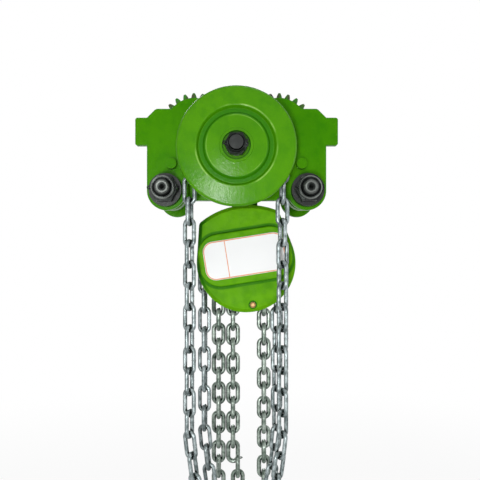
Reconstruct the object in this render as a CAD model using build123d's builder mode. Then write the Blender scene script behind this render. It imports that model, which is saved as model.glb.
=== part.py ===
"""Geared trolley with a hand chain hoist hung under it, as separate pieces.

The origin is on the surface that the wheels roll on, midway along the trolley and midway
between its two sides. X runs along the travel, Z is up, and the hand chains hang on the front,
at -Y. Stations are distances in front of the origin, so a larger station is nearer to the viewer.
"""

import os
from math import acos, atan, cos, degrees, hypot, pi, radians, sin, sqrt, tan

from build123d import *

os.makedirs("parts", exist_ok=True)

# Width of the track that the trolley is set for
beam_flange_width = 82.0

# Fits shared by all pieces
running_clearance = 0.05
press_clearance = 0.01
bolt_clearance = 0.3
seat_gap = 0.3

# Stub teeth used by every gear
pressure_angle = radians(25)
tooth_addendum = 0.8
tooth_dedendum = 1.0

# Trolley wheels
wheel_tread_radius = 31.5
wheel_tread_width = 20.0
wheel_base = 104.0
wheel_gear_module = 3.5
wheel_gear_teeth = 24
wheel_gear_width = 10.0
wheel_gear_play = 0.5
plain_flange_radius = 39.0
wheel_edge_clearance = 2.0
wheel_plate_gap = 3.0
wheel_edge_chamfer = 1.2

# Ball bearing of a trolley wheel
bearing_radius = 17.5
bearing_bore_radius = 7.5
bearing_width = 11.0
bearing_lip_radius = 13.0
bearing_race_depth = 0.6

# Wheel axle
axle_step_radius = 10.0
axle_collar_radius = 12.0
axle_collar_thickness = 2.0
axle_thread_radius = 7.0
axle_nut_flats = 22.0
axle_nut_height = 10.0
axle_thread_end = 3.0
ring_thickness = 1.6
ring_height = 3.0
ring_groove_depth = 0.8

# Side plates
plate_thickness = 8.0
plate_lobe_radius = 24.0
front_plate_drop = 12.0
plate_shoulder_height = 54.0
plate_shoulder_end = 100.0
plate_shoulder_radius = 6.0
plate_crown_radius = 36.2
plate_crown_bridge = 64.0
tab_length = 14.5
tab_top = 43.0
tab_bottom = 8.5
plate_corner_radius = 3.0
plate_edge_fillet = 1.5
cast_boss_radius = 6.5
cast_boss_height = 9.0
cast_boss_x = 80.0
cast_boss_z = -15.0

# Hand drive of the trolley
pinion_teeth = 11
pinion_width = 9.5
pinion_journal_radius = 10.0
pinion_bush_radius = 13.5
pinion_bush_flange_radius = 17.0
pinion_bush_flange = 2.0
plate_boss_radius = 22.0
plate_boss_height = 13.0

# Suspension bolts
bolt_spread = 174.0
bolt_height = -47.5
bolt_radius = 10.0
bolt_head_flats = 30.0
bolt_head_height = 13.0
bolt_end_reach = 5.0
bolt_end_chamfer = 3.2
bolt_centre_radius = 3.0
washer_radius = 20.0
washer_thickness = 3.0
front_washer_count = 4
rear_washer_count = 2
bolt_nut_hex_height = 16.0
bolt_nut_collar_height = 8.0
bolt_nut_collar_radius = 14.0
nut_collar_chamfer = 1.3
split_pin_radius = 1.8
split_pin_eye_radius = 2.7
split_pin_tail_radius = 1.45
split_pin_tail = 5.0
spacer_radius = 14.0

# Hanger bar and the pin that the hoist swings on
hanger_thickness = 16.0
hanger_eye_radius = 19.0
hanger_pin_eye_radius = 17.0
hanger_bar_height = 22.0
hanger_bar_lift = 5.0
swing_pin_x = 10.6
swing_pin_height = -74.0
swing_pin_radius = 8.0
swing_pin_head_radius = 11.0
swing_pin_head = 4.0

# Hand chain, shared by the trolley and the hoist
hand_wire = 5.0
hand_pitch = 25.0
hand_width = 17.0
link_play = 0.25

# Hand chain wheel of the trolley
trolley_wheel_pockets = 7
trolley_chain_station = 96.0
trolley_disc_radius = 70.2
trolley_disc_depth = 7.1
trolley_disc_thickness = 4.5
trolley_rim_fillet = 3.5
trolley_disc_dish = 2.0
trolley_rear_flange_radius = 64.0
groove_ring_outer = 46.5
groove_ring_inner = 36.5
groove_ring_depth = 3.5
groove_ring_slope = 2.6
groove_lip_fillet = 1.8
hub_ring_outer = 20.0
hub_ring_inner = 16.5
hub_ring_height = 2.0
hub_ring_slope = 0.5
hub_rise = 1.1
trolley_seat_radius = 9.0
trolley_thread_radius = 8.0
trolley_nut_flats = 24.0
trolley_nut_hex_height = 9.0
trolley_nut_collar_height = 6.0
trolley_nut_collar_radius = 11.0
trolley_washer_radius = 12.5
trolley_washer_thickness = 2.5
trolley_thread_end = 2.0
wheel_pocket_depth = 2.0
wheel_chain_clearance = 0.4
wheel_flange_taper = 1.0

# Hoist as a whole: it hangs a little tilted from a pin that stands over its centre of mass
hoist_tilt = 9.0
hoist_pin_rise = 58.85
hoist_axis_x = 5.0

# Frame plates of the hoist
frame_gap = 26.0
frame_thickness = 5.0
frame_rim = 2.0
frame_lug_radius = 17.0
stay_radius = 3.0
stay_collar_radius = 4.0
stay_nut_flats = 10.0
stay_nut_height = 5.0
stay_end = 2.0
stay_places = ((46.0, 38.0), (-37.0, 38.0), (6.5, -56.2))

# Hand wheel cover
cover_shift = 6.5
cover_drop = 3.5
cover_radius = 62.0
cover_shoulder_width = 50.5
cover_shoulder_height = 54.5
cover_crown_height = 69.0
cover_wall = 2.2
cover_corner_radius = 7.0
cover_face_station = 58.0
cover_face_chamfer = 4.5
band_length = 118.0
band_low = -28.5
band_high = 38.0
band_rise = 5.0
band_corner_radius = 27.0
band_edge_fillet = 2.5
label_left = -44.65
label_right = 56.35
label_low = -19.0
label_high = 29.0
label_thickness = 0.6
label_corner_radius = 13.0
cover_nut_flats = 7.0
cover_stud_radius = 2.0
chain_slot_rise = 90.0
cover_nut_height = 3.0
chain_slot_width = 21.0

# Brake and hand drive of the hoist
hoist_wheel_pockets = 6
hoist_chain_station = 42.0
hoist_wheel_flange_radius = 51.5
hoist_wheel_hub_radius = 15.0
drive_radius = 6.0
drive_front_radius = 7.0
drive_thread_radius = 5.0
drive_nut_flats = 16.0
drive_nut_height = 6.0
brake_gap = 1.0
brake_hub_radius = 30.0
brake_hub_thickness = 3.5
brake_sleeve_radius = 13.0
friction_thickness = 2.2
friction_radius = 29.0
ratchet_thickness = 4.3
ratchet_teeth = 12
ratchet_tip_radius = 36.0
ratchet_root_radius = 31.0
pawl_pin_radius = 3.0
pawl_boss_radius = 6.0
pawl_nose_radius = 2.2
pawl_length = 21.0
pawl_pivot_radius = 46.0
pawl_nose_gap = 0.6
pawl_angles = (20.0, 200.0)
pawl_spring_radius = 4.6
pawl_ring_thickness = 1.2

# Load chain, sheave and gears of the hoist
load_wire = 6.0
load_pitch = 19.8
load_width = 19.0
sheave_pockets = 5
sheave_flange_radius = 33.0
sheave_journal_radius = 13.0
sheave_bearing_radius = 18.0
sheave_hub_radius = 11.0
sheave_side_gap = 0.5
train_module = 1.5
train_play = 0.3
drive_pinion_teeth = 10
second_wheel_teeth = 26
second_pinion_teeth = 12
load_gear_teeth = 24
load_gear_width = 8.0
second_wheel_width = 5.8
gear_gap = 1.0
second_journal_radius = 5.0
second_bush_radius = 7.5
second_bush_length = 6.0
gear_cover_end_radius = 24.5
gear_cover_middle_radius = 28.0
gear_flange_thickness = 3.0
gear_ear_radius = 7.0
gear_screw_across = 40.0
gear_screw_up = 61.0
gear_screw_radius = 2.5
gear_screw_head_radius = 4.5
gear_screw_head_height = 3.0
stripper_u = 4.0
stripper_width = 12.0
stripper_height = 12.0
stripper_gap = 1.0
gear_cover_wall = 2.5
gear_cover_fillet = 6.0
gear_boss_radius = 10.0

# Hanging lengths, in links below the wheels
trolley_strand_links = 13
trolley_bight_links = 14
hoist_strand_links = 8
hoist_bight_links = 13
load_strand_links = 18
slack_strand_links = 13
slack_bight_links = 5
anchor_strand_links = 11
slack_span = 19.4
anchor_drop = 52.5

# Twist of the hanging hand chains, down their left and right strands, in degrees
chain_twist_step = 8.0
trolley_chain_twists = (26.0, 40.0)
hoist_chain_twists = (8.0, 30.0)

# Bottom block and hook
block_width = 46.0
block_above_pin = 8.5
block_below_pin = 27.0
block_corner_radius = 9.0
block_edge_fillet = 3.0
block_bolt_radius = 2.5
block_bolt_inset = 7.5
block_bolt_drop = 4.0
block_bolt_flats = 8.0
block_bolt_head = 4.0
link_end_depth = 10.5
block_hook_gap = 1.5
chain_pin_radius = 3.0
collar_radius = 12.0
collar_height = 6.0
collar_drop = 15.0
shank_radius = 8.0
hook_radius = 8.5
hook_bowl_radius = 14.5
hook_neck_turn = 60.0
hook_wrap = 245.0
hook_shank_length = 6.0
latch_pivot_offset = 3.0
latch_pivot_drop = 7.0
latch_reach = 10.0
latch_drop = 24.0
latch_eye_radius = 4.5
latch_toe_radius = 3.0
latch_thickness = 1.6
latch_web_length = 8.0
latch_pin_radius = 2.0
latch_pin_head_radius = 3.8
latch_pin_head = 1.2
latch_spring_radius = 3.4
latch_spring_length = 3.2


def face(ahead, x=0.0, z=0.0, tilt=0.0):
    """Plane that looks at the viewer from a station in front of the origin."""
    turn = radians(tilt)
    return Plane(origin=(x, -ahead, z), x_dir=(cos(turn), 0, sin(turn)), z_dir=(0, -1, 0))


def turned(profile, x=0.0, z=0.0):
    """Solid turned about a front-to-back spindle, from (radius, station) points."""
    section = Plane(origin=(x, 0, z), x_dir=(1, 0, 0), z_dir=(0, 0, -1))
    with BuildPart() as body:
        with BuildSketch(section):
            with BuildLine():
                Polyline(*profile, close=True)
            make_face()
        revolve(axis=Axis((x, 0, z), (0, -1, 0)))
    return body.part


def bar(radius, start, end, x=0.0, z=0.0, bore=0.0):
    """Round bar or tube that lies front to back between two stations."""
    with BuildPart() as body:
        with BuildSketch(face(start, x, z)):
            Circle(radius)
            if bore > 0:
                Circle(bore, mode=Mode.SUBTRACT)
        extrude(amount=end - start)
    return body.part


def hex_nut(flats, height, bore, start, x=0.0, z=0.0):
    """Hexagon nut that seats on a station and rises towards the front, or back if height < 0."""
    with BuildPart() as body:
        with BuildSketch(face(start, x, z)):
            RegularPolygon(flats / 2, 6, major_radius=False)
            if bore > 0:
                Circle(bore, mode=Mode.SUBTRACT)
        extrude(amount=height)
    return body.part


def collar_nut(flats, hex_height, collar_height, collar_radius, bore, start, x=0.0, z=0.0):
    """Hexagon nut with a round collar, drilled across the collar for a split pin."""
    collar = start + hex_height
    top = collar + collar_height
    with BuildPart() as body:
        add(hex_nut(flats, hex_height, bore, start, x, z))
        add(
            turned(
                [
                    (bore, collar),
                    (collar_radius, collar),
                    (collar_radius, top - nut_collar_chamfer),
                    (collar_radius - nut_collar_chamfer, top),
                    (bore + nut_collar_chamfer, top),
                    (bore, top - nut_collar_chamfer),
                ],
                x,
                z,
            )
        )
        with BuildSketch(Plane(origin=(x, -collar - collar_height / 2, z), z_dir=(1, 0, 0))):
            Circle(split_pin_radius + press_clearance)
        extrude(amount=2 * collar_radius, both=True, mode=Mode.SUBTRACT)
    return body.part


def split_pin(collar_radius, station, x=0.0, z=0.0):
    """Pin across a nut's collar, with its eye at one end and its two tails bent at the other."""
    reach = collar_radius + 2 * split_pin_radius
    with BuildPart() as body:
        with BuildSketch(Plane(origin=(x, -station, z), z_dir=(1, 0, 0))):
            Circle(split_pin_radius)
        extrude(amount=reach, both=True)
        with Locations((x - reach, -station, z)):
            Sphere(split_pin_eye_radius)
        with BuildSketch(Plane(origin=(x + reach - split_pin_radius, -station, z))):
            Circle(split_pin_tail_radius)
        extrude(amount=split_pin_tail, both=True)
    return body.part


def gear_outline(module, teeth, play, turn=0.0):
    """Stub-tooth gear outline, one tooth centred on `turn` degrees; arcs stand for involutes."""
    pitch_radius = module * teeth / 2
    base_radius = pitch_radius * cos(pressure_angle)
    tip_radius = pitch_radius + tooth_addendum * module
    root_radius = pitch_radius - tooth_dedendum * module
    foot_radius = max(base_radius, root_radius)
    middle_radius = (foot_radius + tip_radius) / 2

    def involute(radius):
        lean = acos(min(1.0, base_radius / radius))
        return tan(lean) - lean

    def half_tooth(radius):
        at_pitch = pi / (2 * teeth) - play / (4 * pitch_radius)
        return at_pitch + involute(pitch_radius) - involute(radius)

    def at(radius, angle):
        return (radius * cos(angle), radius * sin(angle))

    step = 2 * pi / teeth
    foot = half_tooth(foot_radius)
    with BuildSketch() as outline:
        with BuildLine():
            for tooth in range(teeth):
                middle = radians(turn) + tooth * step
                rising = [at(r, middle - half_tooth(r)) for r in (foot_radius, middle_radius, tip_radius)]
                falling = [at(r, middle + half_tooth(r)) for r in (tip_radius, middle_radius, foot_radius)]
                ThreePointArc(*rising)
                ThreePointArc(rising[2], at(tip_radius, middle), falling[0])
                ThreePointArc(*falling)
                gap_start = at(root_radius, middle + foot)
                gap_end = at(root_radius, middle + step - foot)
                if foot_radius > root_radius:
                    Line(falling[2], gap_start)
                    Line(gap_end, at(foot_radius, middle + step - foot))
                ThreePointArc(gap_start, at(root_radius, middle + step / 2), gap_end)
        make_face()
    return outline.sketch


# Stations of the trolley, from the track's edge outwards
beam_edge = beam_flange_width / 2
gear_inner = beam_edge + wheel_edge_clearance
gear_outer = gear_inner + wheel_gear_width
plate_inner = gear_outer + wheel_plate_gap
plate_outer = plate_inner + plate_thickness
tread_inner = gear_inner - wheel_tread_width
bearing_seat = gear_inner + 2 * wheel_edge_clearance
bearing_inner = bearing_seat - bearing_width

# The pinion stands between the two geared wheels, at the centre distance that meshes with both
axle_height = wheel_tread_radius
mesh_distance = wheel_gear_module * (wheel_gear_teeth + pinion_teeth) / 2
pinion_height = axle_height - sqrt(mesh_distance**2 - (wheel_base / 2) ** 2)
wheel_places = {"left": -wheel_base / 2, "right": wheel_base / 2}


def mesh_turn(side):
    """Turn of a geared wheel that puts a gap where the pinion's tooth at the top stands."""
    to_pinion = degrees(atan((pinion_height - axle_height) / -side))
    if side > 0:
        to_pinion += 180
    from_pinion = to_pinion + 180
    pinion_step = 360 / pinion_teeth
    wheel_step = 360 / wheel_gear_teeth
    tooth_phase = ((from_pinion - 90) / pinion_step) % 1
    return to_pinion + (0.5 + tooth_phase) * wheel_step


def wheel_casting(x, hand):
    """Tread and bearing seat of a trolley wheel; hand is 1 at the front and -1 behind."""
    bore = bearing_radius + running_clearance
    profile = [
        (bore, tread_inner),
        (wheel_tread_radius - wheel_edge_chamfer, tread_inner),
        (wheel_tread_radius, tread_inner + wheel_edge_chamfer),
        (wheel_tread_radius, gear_outer),
        (bearing_lip_radius, gear_outer),
        (bearing_lip_radius, bearing_seat),
        (bore, bearing_seat),
    ]
    return turned([(radius, hand * station) for radius, station in profile], x, axle_height)


def ball_bearing(x, hand):
    """Sealed ball bearing, its shields sunk between the two rings."""
    bore = bearing_bore_radius + press_clearance
    ring = (bearing_radius - bore) / 4
    dish = bearing_inner + bearing_race_depth
    back = bearing_seat - bearing_race_depth
    profile = [
        (bore, bearing_inner),
        (bore + ring, bearing_inner),
        (bore + ring, dish),
        (bearing_radius - ring, dish),
        (bearing_radius - ring, bearing_inner),
        (bearing_radius, bearing_inner),
        (bearing_radius, bearing_seat),
        (bearing_radius - ring, bearing_seat),
        (bearing_radius - ring, back),
        (bore + ring, back),
        (bore + ring, bearing_seat),
        (bore, bearing_seat),
    ]
    return turned([(radius, hand * station) for radius, station in profile], x, axle_height)


# Wheels: toothed flanges in front, plain flanges behind; each runs on a bearing that its axle carries
wheels = {}
for side_name, wheel_x in wheel_places.items():
    with BuildPart() as geared_wheel:
        add(wheel_casting(wheel_x, 1))
        with BuildSketch(face(gear_inner, wheel_x, axle_height)):
            add(gear_outline(wheel_gear_module, wheel_gear_teeth, wheel_gear_play, mesh_turn(wheel_x)))
            Circle(wheel_tread_radius - wheel_edge_chamfer, mode=Mode.SUBTRACT)
        extrude(amount=wheel_gear_width)
    with BuildPart() as plain_wheel:
        add(wheel_casting(wheel_x, -1))
        flange_bore = wheel_tread_radius - wheel_edge_chamfer
        add(bar(plain_flange_radius, -gear_outer, -gear_inner, wheel_x, axle_height, flange_bore))
    wheels[f"geared_wheel_{side_name}"] = geared_wheel
    wheels[f"plain_wheel_{side_name}"] = plain_wheel

with BuildPart() as wheel_bearings:
    for wheel_x in wheel_places.values():
        for hand in (1, -1):
            add(ball_bearing(wheel_x, hand))

# Axles: shouldered pins bolted through the side plates, with a ring that keeps the bearing on
ring_outer_face = bearing_inner - seat_gap
ring_inner_face = ring_outer_face - ring_thickness
axle_tip = ring_inner_face - axle_collar_thickness
axle_end = plate_outer + axle_nut_height + axle_thread_end


def wheel_axle(x, hand):
    """One shouldered axle, turned from bar."""
    groove = bearing_bore_radius - ring_groove_depth
    shoulder = bearing_seat + seat_gap
    collar = plate_inner - axle_collar_thickness
    profile = [
        (0, axle_tip),
        (bearing_bore_radius, axle_tip),
        (bearing_bore_radius, ring_inner_face),
        (groove, ring_inner_face),
        (groove, ring_outer_face),
        (bearing_bore_radius, ring_outer_face),
        (bearing_bore_radius, shoulder),
        (axle_step_radius, shoulder),
        (axle_step_radius, collar),
        (axle_collar_radius, collar),
        (axle_collar_radius, plate_inner),
        (axle_thread_radius, plate_inner),
        (axle_thread_radius, axle_end),
        (0, axle_end),
    ]
    return turned([(radius, hand * station) for radius, station in profile], x, axle_height)


with BuildPart() as wheel_axles:
    for wheel_x in wheel_places.values():
        for hand in (1, -1):
            add(wheel_axle(wheel_x, hand))

with BuildPart() as axle_rings:
    for wheel_x in wheel_places.values():
        for hand in (1, -1):
            add(
                bar(
                    bearing_bore_radius - ring_groove_depth + ring_height,
                    hand * ring_inner_face,
                    hand * ring_outer_face,
                    wheel_x,
                    axle_height,
                    bearing_bore_radius - ring_groove_depth + press_clearance,
                )
            )

with BuildPart() as axle_nuts:
    for wheel_x in wheel_places.values():
        for hand in (1, -1):
            add(
                hex_nut(
                    axle_nut_flats,
                    hand * axle_nut_height,
                    axle_thread_radius + press_clearance,
                    hand * plate_outer,
                    wheel_x,
                    axle_height,
                )
            )

# Side plates: cast with lobes at the bolts, crowns over the axles and end tabs; the front one
# reaches lower, to carry the hand drive
bolt_x = bolt_spread / 2
plate_edge = bolt_x + plate_lobe_radius
tab_reach = plate_edge + tab_length
bush_hole_radius = pinion_bush_radius + press_clearance
bolt_hole_radius = bolt_radius + bolt_clearance


def plate_outline(drop=0.0):
    """Outline of a side plate without its holes; drop is its depth below the bolts."""
    with BuildSketch() as outline:
        with BuildLine():
            Polyline(
                (-plate_edge, bolt_height),
                (-plate_edge, tab_top),
                (-plate_shoulder_end, plate_shoulder_height),
                (plate_shoulder_end, plate_shoulder_height),
                (plate_edge, tab_top),
                (plate_edge, bolt_height),
                close=True,
            )
        make_face()
        fillet(outline.vertices().group_by(Axis.Y)[-1], plate_shoulder_radius)
        with Locations((0, (tab_top + tab_bottom) / 2)):
            Rectangle(2 * tab_reach, tab_top - tab_bottom)
        if drop > 0:
            with Locations((0, bolt_height - drop / 2)):
                Rectangle(2 * bolt_x, drop)
        with Locations((0, (axle_height + plate_crown_bridge) / 2)):
            Rectangle(wheel_base, plate_crown_bridge - axle_height)
        with Locations((-bolt_x, bolt_height), (bolt_x, bolt_height)):
            Circle(plate_lobe_radius)
        with Locations((-wheel_base / 2, axle_height), (wheel_base / 2, axle_height)):
            Circle(plate_crown_radius)
        tab_corners = [v for v in outline.vertices() if abs(v.X) > tab_reach - plate_corner_radius]
        fillet(tab_corners, plate_corner_radius)
    return outline.sketch


def drill_plate(start, depth):
    """Bolt and axle holes of a side plate, to be cut out of it."""
    with BuildSketch(face(start)) as holes:
        with Locations((-bolt_x, bolt_height), (bolt_x, bolt_height)):
            Circle(bolt_hole_radius)
        with Locations((-wheel_base / 2, axle_height), (wheel_base / 2, axle_height)):
            Circle(axle_thread_radius + running_clearance)
    return extrude(holes.sketch, amount=depth, mode=Mode.PRIVATE)


with BuildPart() as front_side_plate:
    with BuildSketch(face(plate_inner)):
        add(plate_outline(front_plate_drop))
    extrude(amount=plate_thickness)
    rim = front_side_plate.faces().sort_by(Axis.Y)[0].outer_wire().edges()
    fillet(rim, plate_edge_fillet)
    add(bar(plate_boss_radius, plate_outer, plate_outer + plate_boss_height, 0, pinion_height))
    for hand in (1, -1):
        boss_top = plate_outer + cast_boss_height
        add(bar(cast_boss_radius, plate_outer, boss_top, hand * cast_boss_x, cast_boss_z))
    add(drill_plate(plate_inner, plate_thickness), mode=Mode.SUBTRACT)
    with BuildSketch(face(plate_inner)):
        with Locations((0, pinion_height)):
            Circle(bush_hole_radius)
    extrude(amount=plate_thickness + plate_boss_height, mode=Mode.SUBTRACT)

with BuildPart() as rear_side_plate:
    with BuildSketch(face(-plate_inner)):
        add(plate_outline())
    extrude(amount=-plate_thickness)
    rim = rear_side_plate.faces().sort_by(Axis.Y)[-1].outer_wire().edges()
    fillet(rim, plate_edge_fillet)
    add(drill_plate(-plate_inner, -plate_thickness), mode=Mode.SUBTRACT)

# Hand drive of the trolley: pinion shaft in a flanged bush, with the chain wheel keyed to it
pinion_start = gear_outer - pinion_width
bush_flange_face = plate_inner - pinion_bush_flange
bush_end = plate_outer + plate_boss_height
hub_rear = bush_end + seat_gap
groove_half = hand_width / 2 + wheel_chain_clearance
slot_half = hand_wire / 2 + 2 * wheel_chain_clearance
trolley_disc_front = trolley_chain_station + groove_half + trolley_disc_depth
nut_seat = trolley_disc_front + trolley_washer_thickness
nut_end = nut_seat + trolley_nut_hex_height + trolley_nut_collar_height
shaft_end = nut_end + trolley_thread_end

with BuildPart() as pinion_bush:
    bush_bore = pinion_journal_radius + running_clearance
    add(
        turned(
            [
                (bush_bore, bush_flange_face),
                (pinion_bush_flange_radius, bush_flange_face),
                (pinion_bush_flange_radius, plate_inner),
                (pinion_bush_radius, plate_inner),
                (pinion_bush_radius, bush_end),
                (bush_bore, bush_end),
            ],
            0,
            pinion_height,
        )
    )

with BuildPart() as pinion_shaft:
    with BuildSketch(face(pinion_start, 0, pinion_height)):
        add(gear_outline(wheel_gear_module, pinion_teeth, wheel_gear_play, 90))
    extrude(amount=pinion_width)
    add(
        turned(
            [
                (0, pinion_start),
                (pinion_journal_radius, pinion_start),
                (pinion_journal_radius, hub_rear),
                (trolley_seat_radius, hub_rear),
                (trolley_seat_radius, trolley_disc_front),
                (trolley_thread_radius, trolley_disc_front),
                (trolley_thread_radius, shaft_end),
                (0, shaft_end),
            ],
            0,
            pinion_height,
        )
    )
    pin_station = nut_end - trolley_nut_collar_height / 2
    with BuildSketch(Plane(origin=(0, -pin_station, pinion_height), z_dir=(1, 0, 0))):
        Circle(split_pin_radius + press_clearance)
    extrude(amount=2 * trolley_thread_radius, both=True, mode=Mode.SUBTRACT)


def pivot_radius(pockets, pitch, wire):
    """Radius of the link pivots of a chain that lies in a pocket wheel."""
    half_step = pi / (2 * pockets)
    return hypot(pitch / sin(half_step), wire / cos(half_step)) / 2


def link_offset(pockets, pitch, wire, flat):
    """Distance from a pocket wheel's axis to the middle of a link that lies in it."""
    length = pitch + wire if flat else pitch - wire
    return sqrt(pivot_radius(pockets, pitch, wire) ** 2 - (length / 2) ** 2)


def land_radius(pockets, pitch, wire):
    """Radius of the wheel under the links that lie flat across it."""
    return link_offset(pockets, pitch, wire, True) - wire / 2 - wheel_chain_clearance


def slot_radius(pockets, pitch, wire, width):
    """Radius of the slot that takes the links that stand on edge."""
    return link_offset(pockets, pitch, wire, False) - width / 2 - wheel_chain_clearance


def cut_pockets(pockets, pitch, wire, width, station, x, z, first_angle):
    """Shallow pockets that the flat links sink into, to be cut out of a chain wheel."""
    with BuildPart() as cutter:
        with BuildSketch(face(station - width / 2, x, z)):
            with PolarLocations(land_radius(pockets, pitch, wire), pockets, first_angle):
                Rectangle(2 * wheel_pocket_depth, pitch + 2 * wire)
        extrude(amount=width)
    return cutter.part


with BuildPart() as trolley_hand_wheel:
    land = land_radius(trolley_wheel_pockets, hand_pitch, hand_wire)
    slot = slot_radius(trolley_wheel_pockets, hand_pitch, hand_wire, hand_width)
    rim_inner = slot - trolley_disc_thickness
    disc_back = trolley_chain_station + groove_half
    rear_flange = trolley_chain_station - groove_half
    groove_floor = trolley_disc_front - groove_ring_depth
    ring_top = trolley_disc_front + hub_ring_height
    add(
        turned(
            [
                (trolley_seat_radius + press_clearance, hub_rear),
                (hub_ring_outer, hub_rear),
                (hub_ring_outer, disc_back),
                (rim_inner, disc_back),
                (rim_inner, rear_flange - trolley_disc_thickness),
                (trolley_rear_flange_radius, rear_flange - trolley_disc_thickness),
                (trolley_rear_flange_radius, rear_flange - wheel_flange_taper),
                (land, rear_flange),
                (land, trolley_chain_station - slot_half),
                (slot, trolley_chain_station - slot_half),
                (slot, trolley_chain_station + slot_half),
                (land, trolley_chain_station + slot_half),
                (land, disc_back),
                (trolley_disc_radius, disc_back + wheel_flange_taper),
                (trolley_disc_radius, trolley_disc_front - trolley_disc_dish),
                (groove_ring_outer, trolley_disc_front),
                (groove_ring_outer - groove_ring_slope, groove_floor),
                (groove_ring_inner + groove_ring_slope, groove_floor),
                (groove_ring_inner, trolley_disc_front),
                (hub_ring_outer, trolley_disc_front + hub_rise),
                (hub_ring_outer - hub_ring_slope, ring_top),
                (hub_ring_inner, ring_top),
                (hub_ring_inner - hub_ring_slope, trolley_disc_front),
                (trolley_seat_radius + press_clearance, trolley_disc_front),
            ],
            0,
            pinion_height,
        )
    )
    circles = trolley_hand_wheel.edges().filter_by(GeomType.CIRCLE).sort_by(SortBy.RADIUS)
    fillet(circles[-2:].sort_by(Axis.Y)[0], trolley_rim_fillet)
    front_circles = trolley_hand_wheel.edges().filter_by(GeomType.CIRCLE).filter_by_position(
        Axis.Y, -trolley_disc_front - press_clearance, -trolley_disc_front + press_clearance
    )
    fillet(front_circles.sort_by(SortBy.RADIUS)[-2:], groove_lip_fillet)
    add(
        cut_pockets(
            trolley_wheel_pockets,
            hand_pitch,
            hand_wire,
            hand_width,
            trolley_chain_station,
            0,
            pinion_height,
            0,
        ),
        mode=Mode.SUBTRACT,
    )

with BuildPart() as hand_wheel_washer:
    washer_bore = trolley_thread_radius + running_clearance
    add(bar(trolley_washer_radius, trolley_disc_front, nut_seat, 0, pinion_height, washer_bore))

with BuildPart() as hand_wheel_nut:
    add(
        collar_nut(
            trolley_nut_flats,
            trolley_nut_hex_height,
            trolley_nut_collar_height,
            trolley_nut_collar_radius,
            trolley_thread_radius + press_clearance,
            nut_seat,
            0,
            pinion_height,
        )
    )

with BuildPart() as hand_wheel_split_pin:
    add(split_pin(trolley_nut_collar_radius, pin_station, 0, pinion_height))

# Suspension: bolts through both plates, kept apart by tubes, carrying the hanger bar
hanger_face = hanger_thickness / 2
front_nut_seat = plate_outer + front_washer_count * washer_thickness
front_nut_end = front_nut_seat + bolt_nut_hex_height + bolt_nut_collar_height
bolt_end = front_nut_end + bolt_end_reach
rear_head_seat = -plate_outer - rear_washer_count * washer_thickness
bolt_pin_station = front_nut_end - bolt_nut_collar_height / 2
bolt_places = (-bolt_x, bolt_x)

with BuildPart() as suspension_bolts:
    for place in bolt_places:
        add(hex_nut(bolt_head_flats, -bolt_head_height, 0, rear_head_seat, place, bolt_height))
        add(
            turned(
                [
                    (0, rear_head_seat),
                    (bolt_radius, rear_head_seat),
                    (bolt_radius, bolt_end - bolt_end_chamfer),
                    (bolt_radius - bolt_end_chamfer, bolt_end),
                    (bolt_centre_radius, bolt_end),
                    (0, bolt_end - bolt_centre_radius),
                ],
                place,
                bolt_height,
            )
        )
        with BuildSketch(Plane(origin=(place, -bolt_pin_station, bolt_height), z_dir=(1, 0, 0))):
            Circle(split_pin_radius + press_clearance)
        extrude(amount=2 * bolt_radius, both=True, mode=Mode.SUBTRACT)

with BuildPart() as suspension_nuts:
    for place in bolt_places:
        add(
            collar_nut(
                bolt_head_flats,
                bolt_nut_hex_height,
                bolt_nut_collar_height,
                bolt_nut_collar_radius,
                bolt_radius + press_clearance,
                front_nut_seat,
                place,
                bolt_height,
            )
        )

with BuildPart() as suspension_split_pins:
    for place in bolt_places:
        add(split_pin(bolt_nut_collar_radius, bolt_pin_station, place, bolt_height))

with BuildPart() as adjusting_washers:
    for place in bolt_places:
        for count in range(front_washer_count):
            start = plate_outer + count * washer_thickness
            add(bar(washer_radius, start, start + washer_thickness, place, bolt_height, bolt_hole_radius))
        for count in range(rear_washer_count):
            start = -plate_outer - count * washer_thickness
            add(bar(washer_radius, start, start - washer_thickness, place, bolt_height, bolt_hole_radius))

with BuildPart() as spacer_tubes:
    for place in bolt_places:
        for hand in (1, -1):
            start = hand * hanger_face
            add(bar(spacer_radius, start, hand * plate_inner, place, bolt_height, bolt_hole_radius))

with BuildPart() as hanger_bar:
    with BuildSketch(face(-hanger_face)):
        with Locations((-bolt_x, bolt_height), (bolt_x, bolt_height)):
            Circle(hanger_eye_radius)
        with Locations((0, bolt_height + hanger_bar_lift)):
            Rectangle(bolt_spread, hanger_bar_height)
        with Locations((swing_pin_x, (bolt_height + swing_pin_height) / 2)):
            Rectangle(2 * hanger_pin_eye_radius, bolt_height - swing_pin_height)
        with Locations((swing_pin_x, swing_pin_height)):
            Circle(hanger_pin_eye_radius)
        with Locations((-bolt_x, bolt_height), (bolt_x, bolt_height)):
            Circle(bolt_hole_radius, mode=Mode.SUBTRACT)
    extrude(amount=hanger_thickness)
    boss_face = frame_gap / 2 - seat_gap
    add(bar(hanger_pin_eye_radius, -boss_face, boss_face, swing_pin_x, swing_pin_height))
    with BuildSketch(face(0, swing_pin_x, swing_pin_height)):
        Circle(swing_pin_radius + running_clearance)
    extrude(amount=boss_face, both=True, mode=Mode.SUBTRACT)


def chain_link(pitch, wire, width):
    """One welded link, lying along X in the XY plane."""
    turn = (width - wire) / 2
    half = (pitch + link_play + wire) / 2 - turn
    with BuildPart() as body:
        with BuildLine() as path:
            Line((0, turn), (half, turn))
            ThreePointArc((half, turn), (half + turn, 0), (half, -turn))
            Line((half, -turn), (-half, -turn))
            ThreePointArc((-half, -turn), (-half - turn, 0), (-half, turn))
            Line((-half, turn), (0, turn))
        with BuildSketch(Plane(origin=(0, turn, 0), z_dir=(1, 0, 0))):
            Circle(wire / 2)
        sweep(path=path.line)
    return body.part


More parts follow.
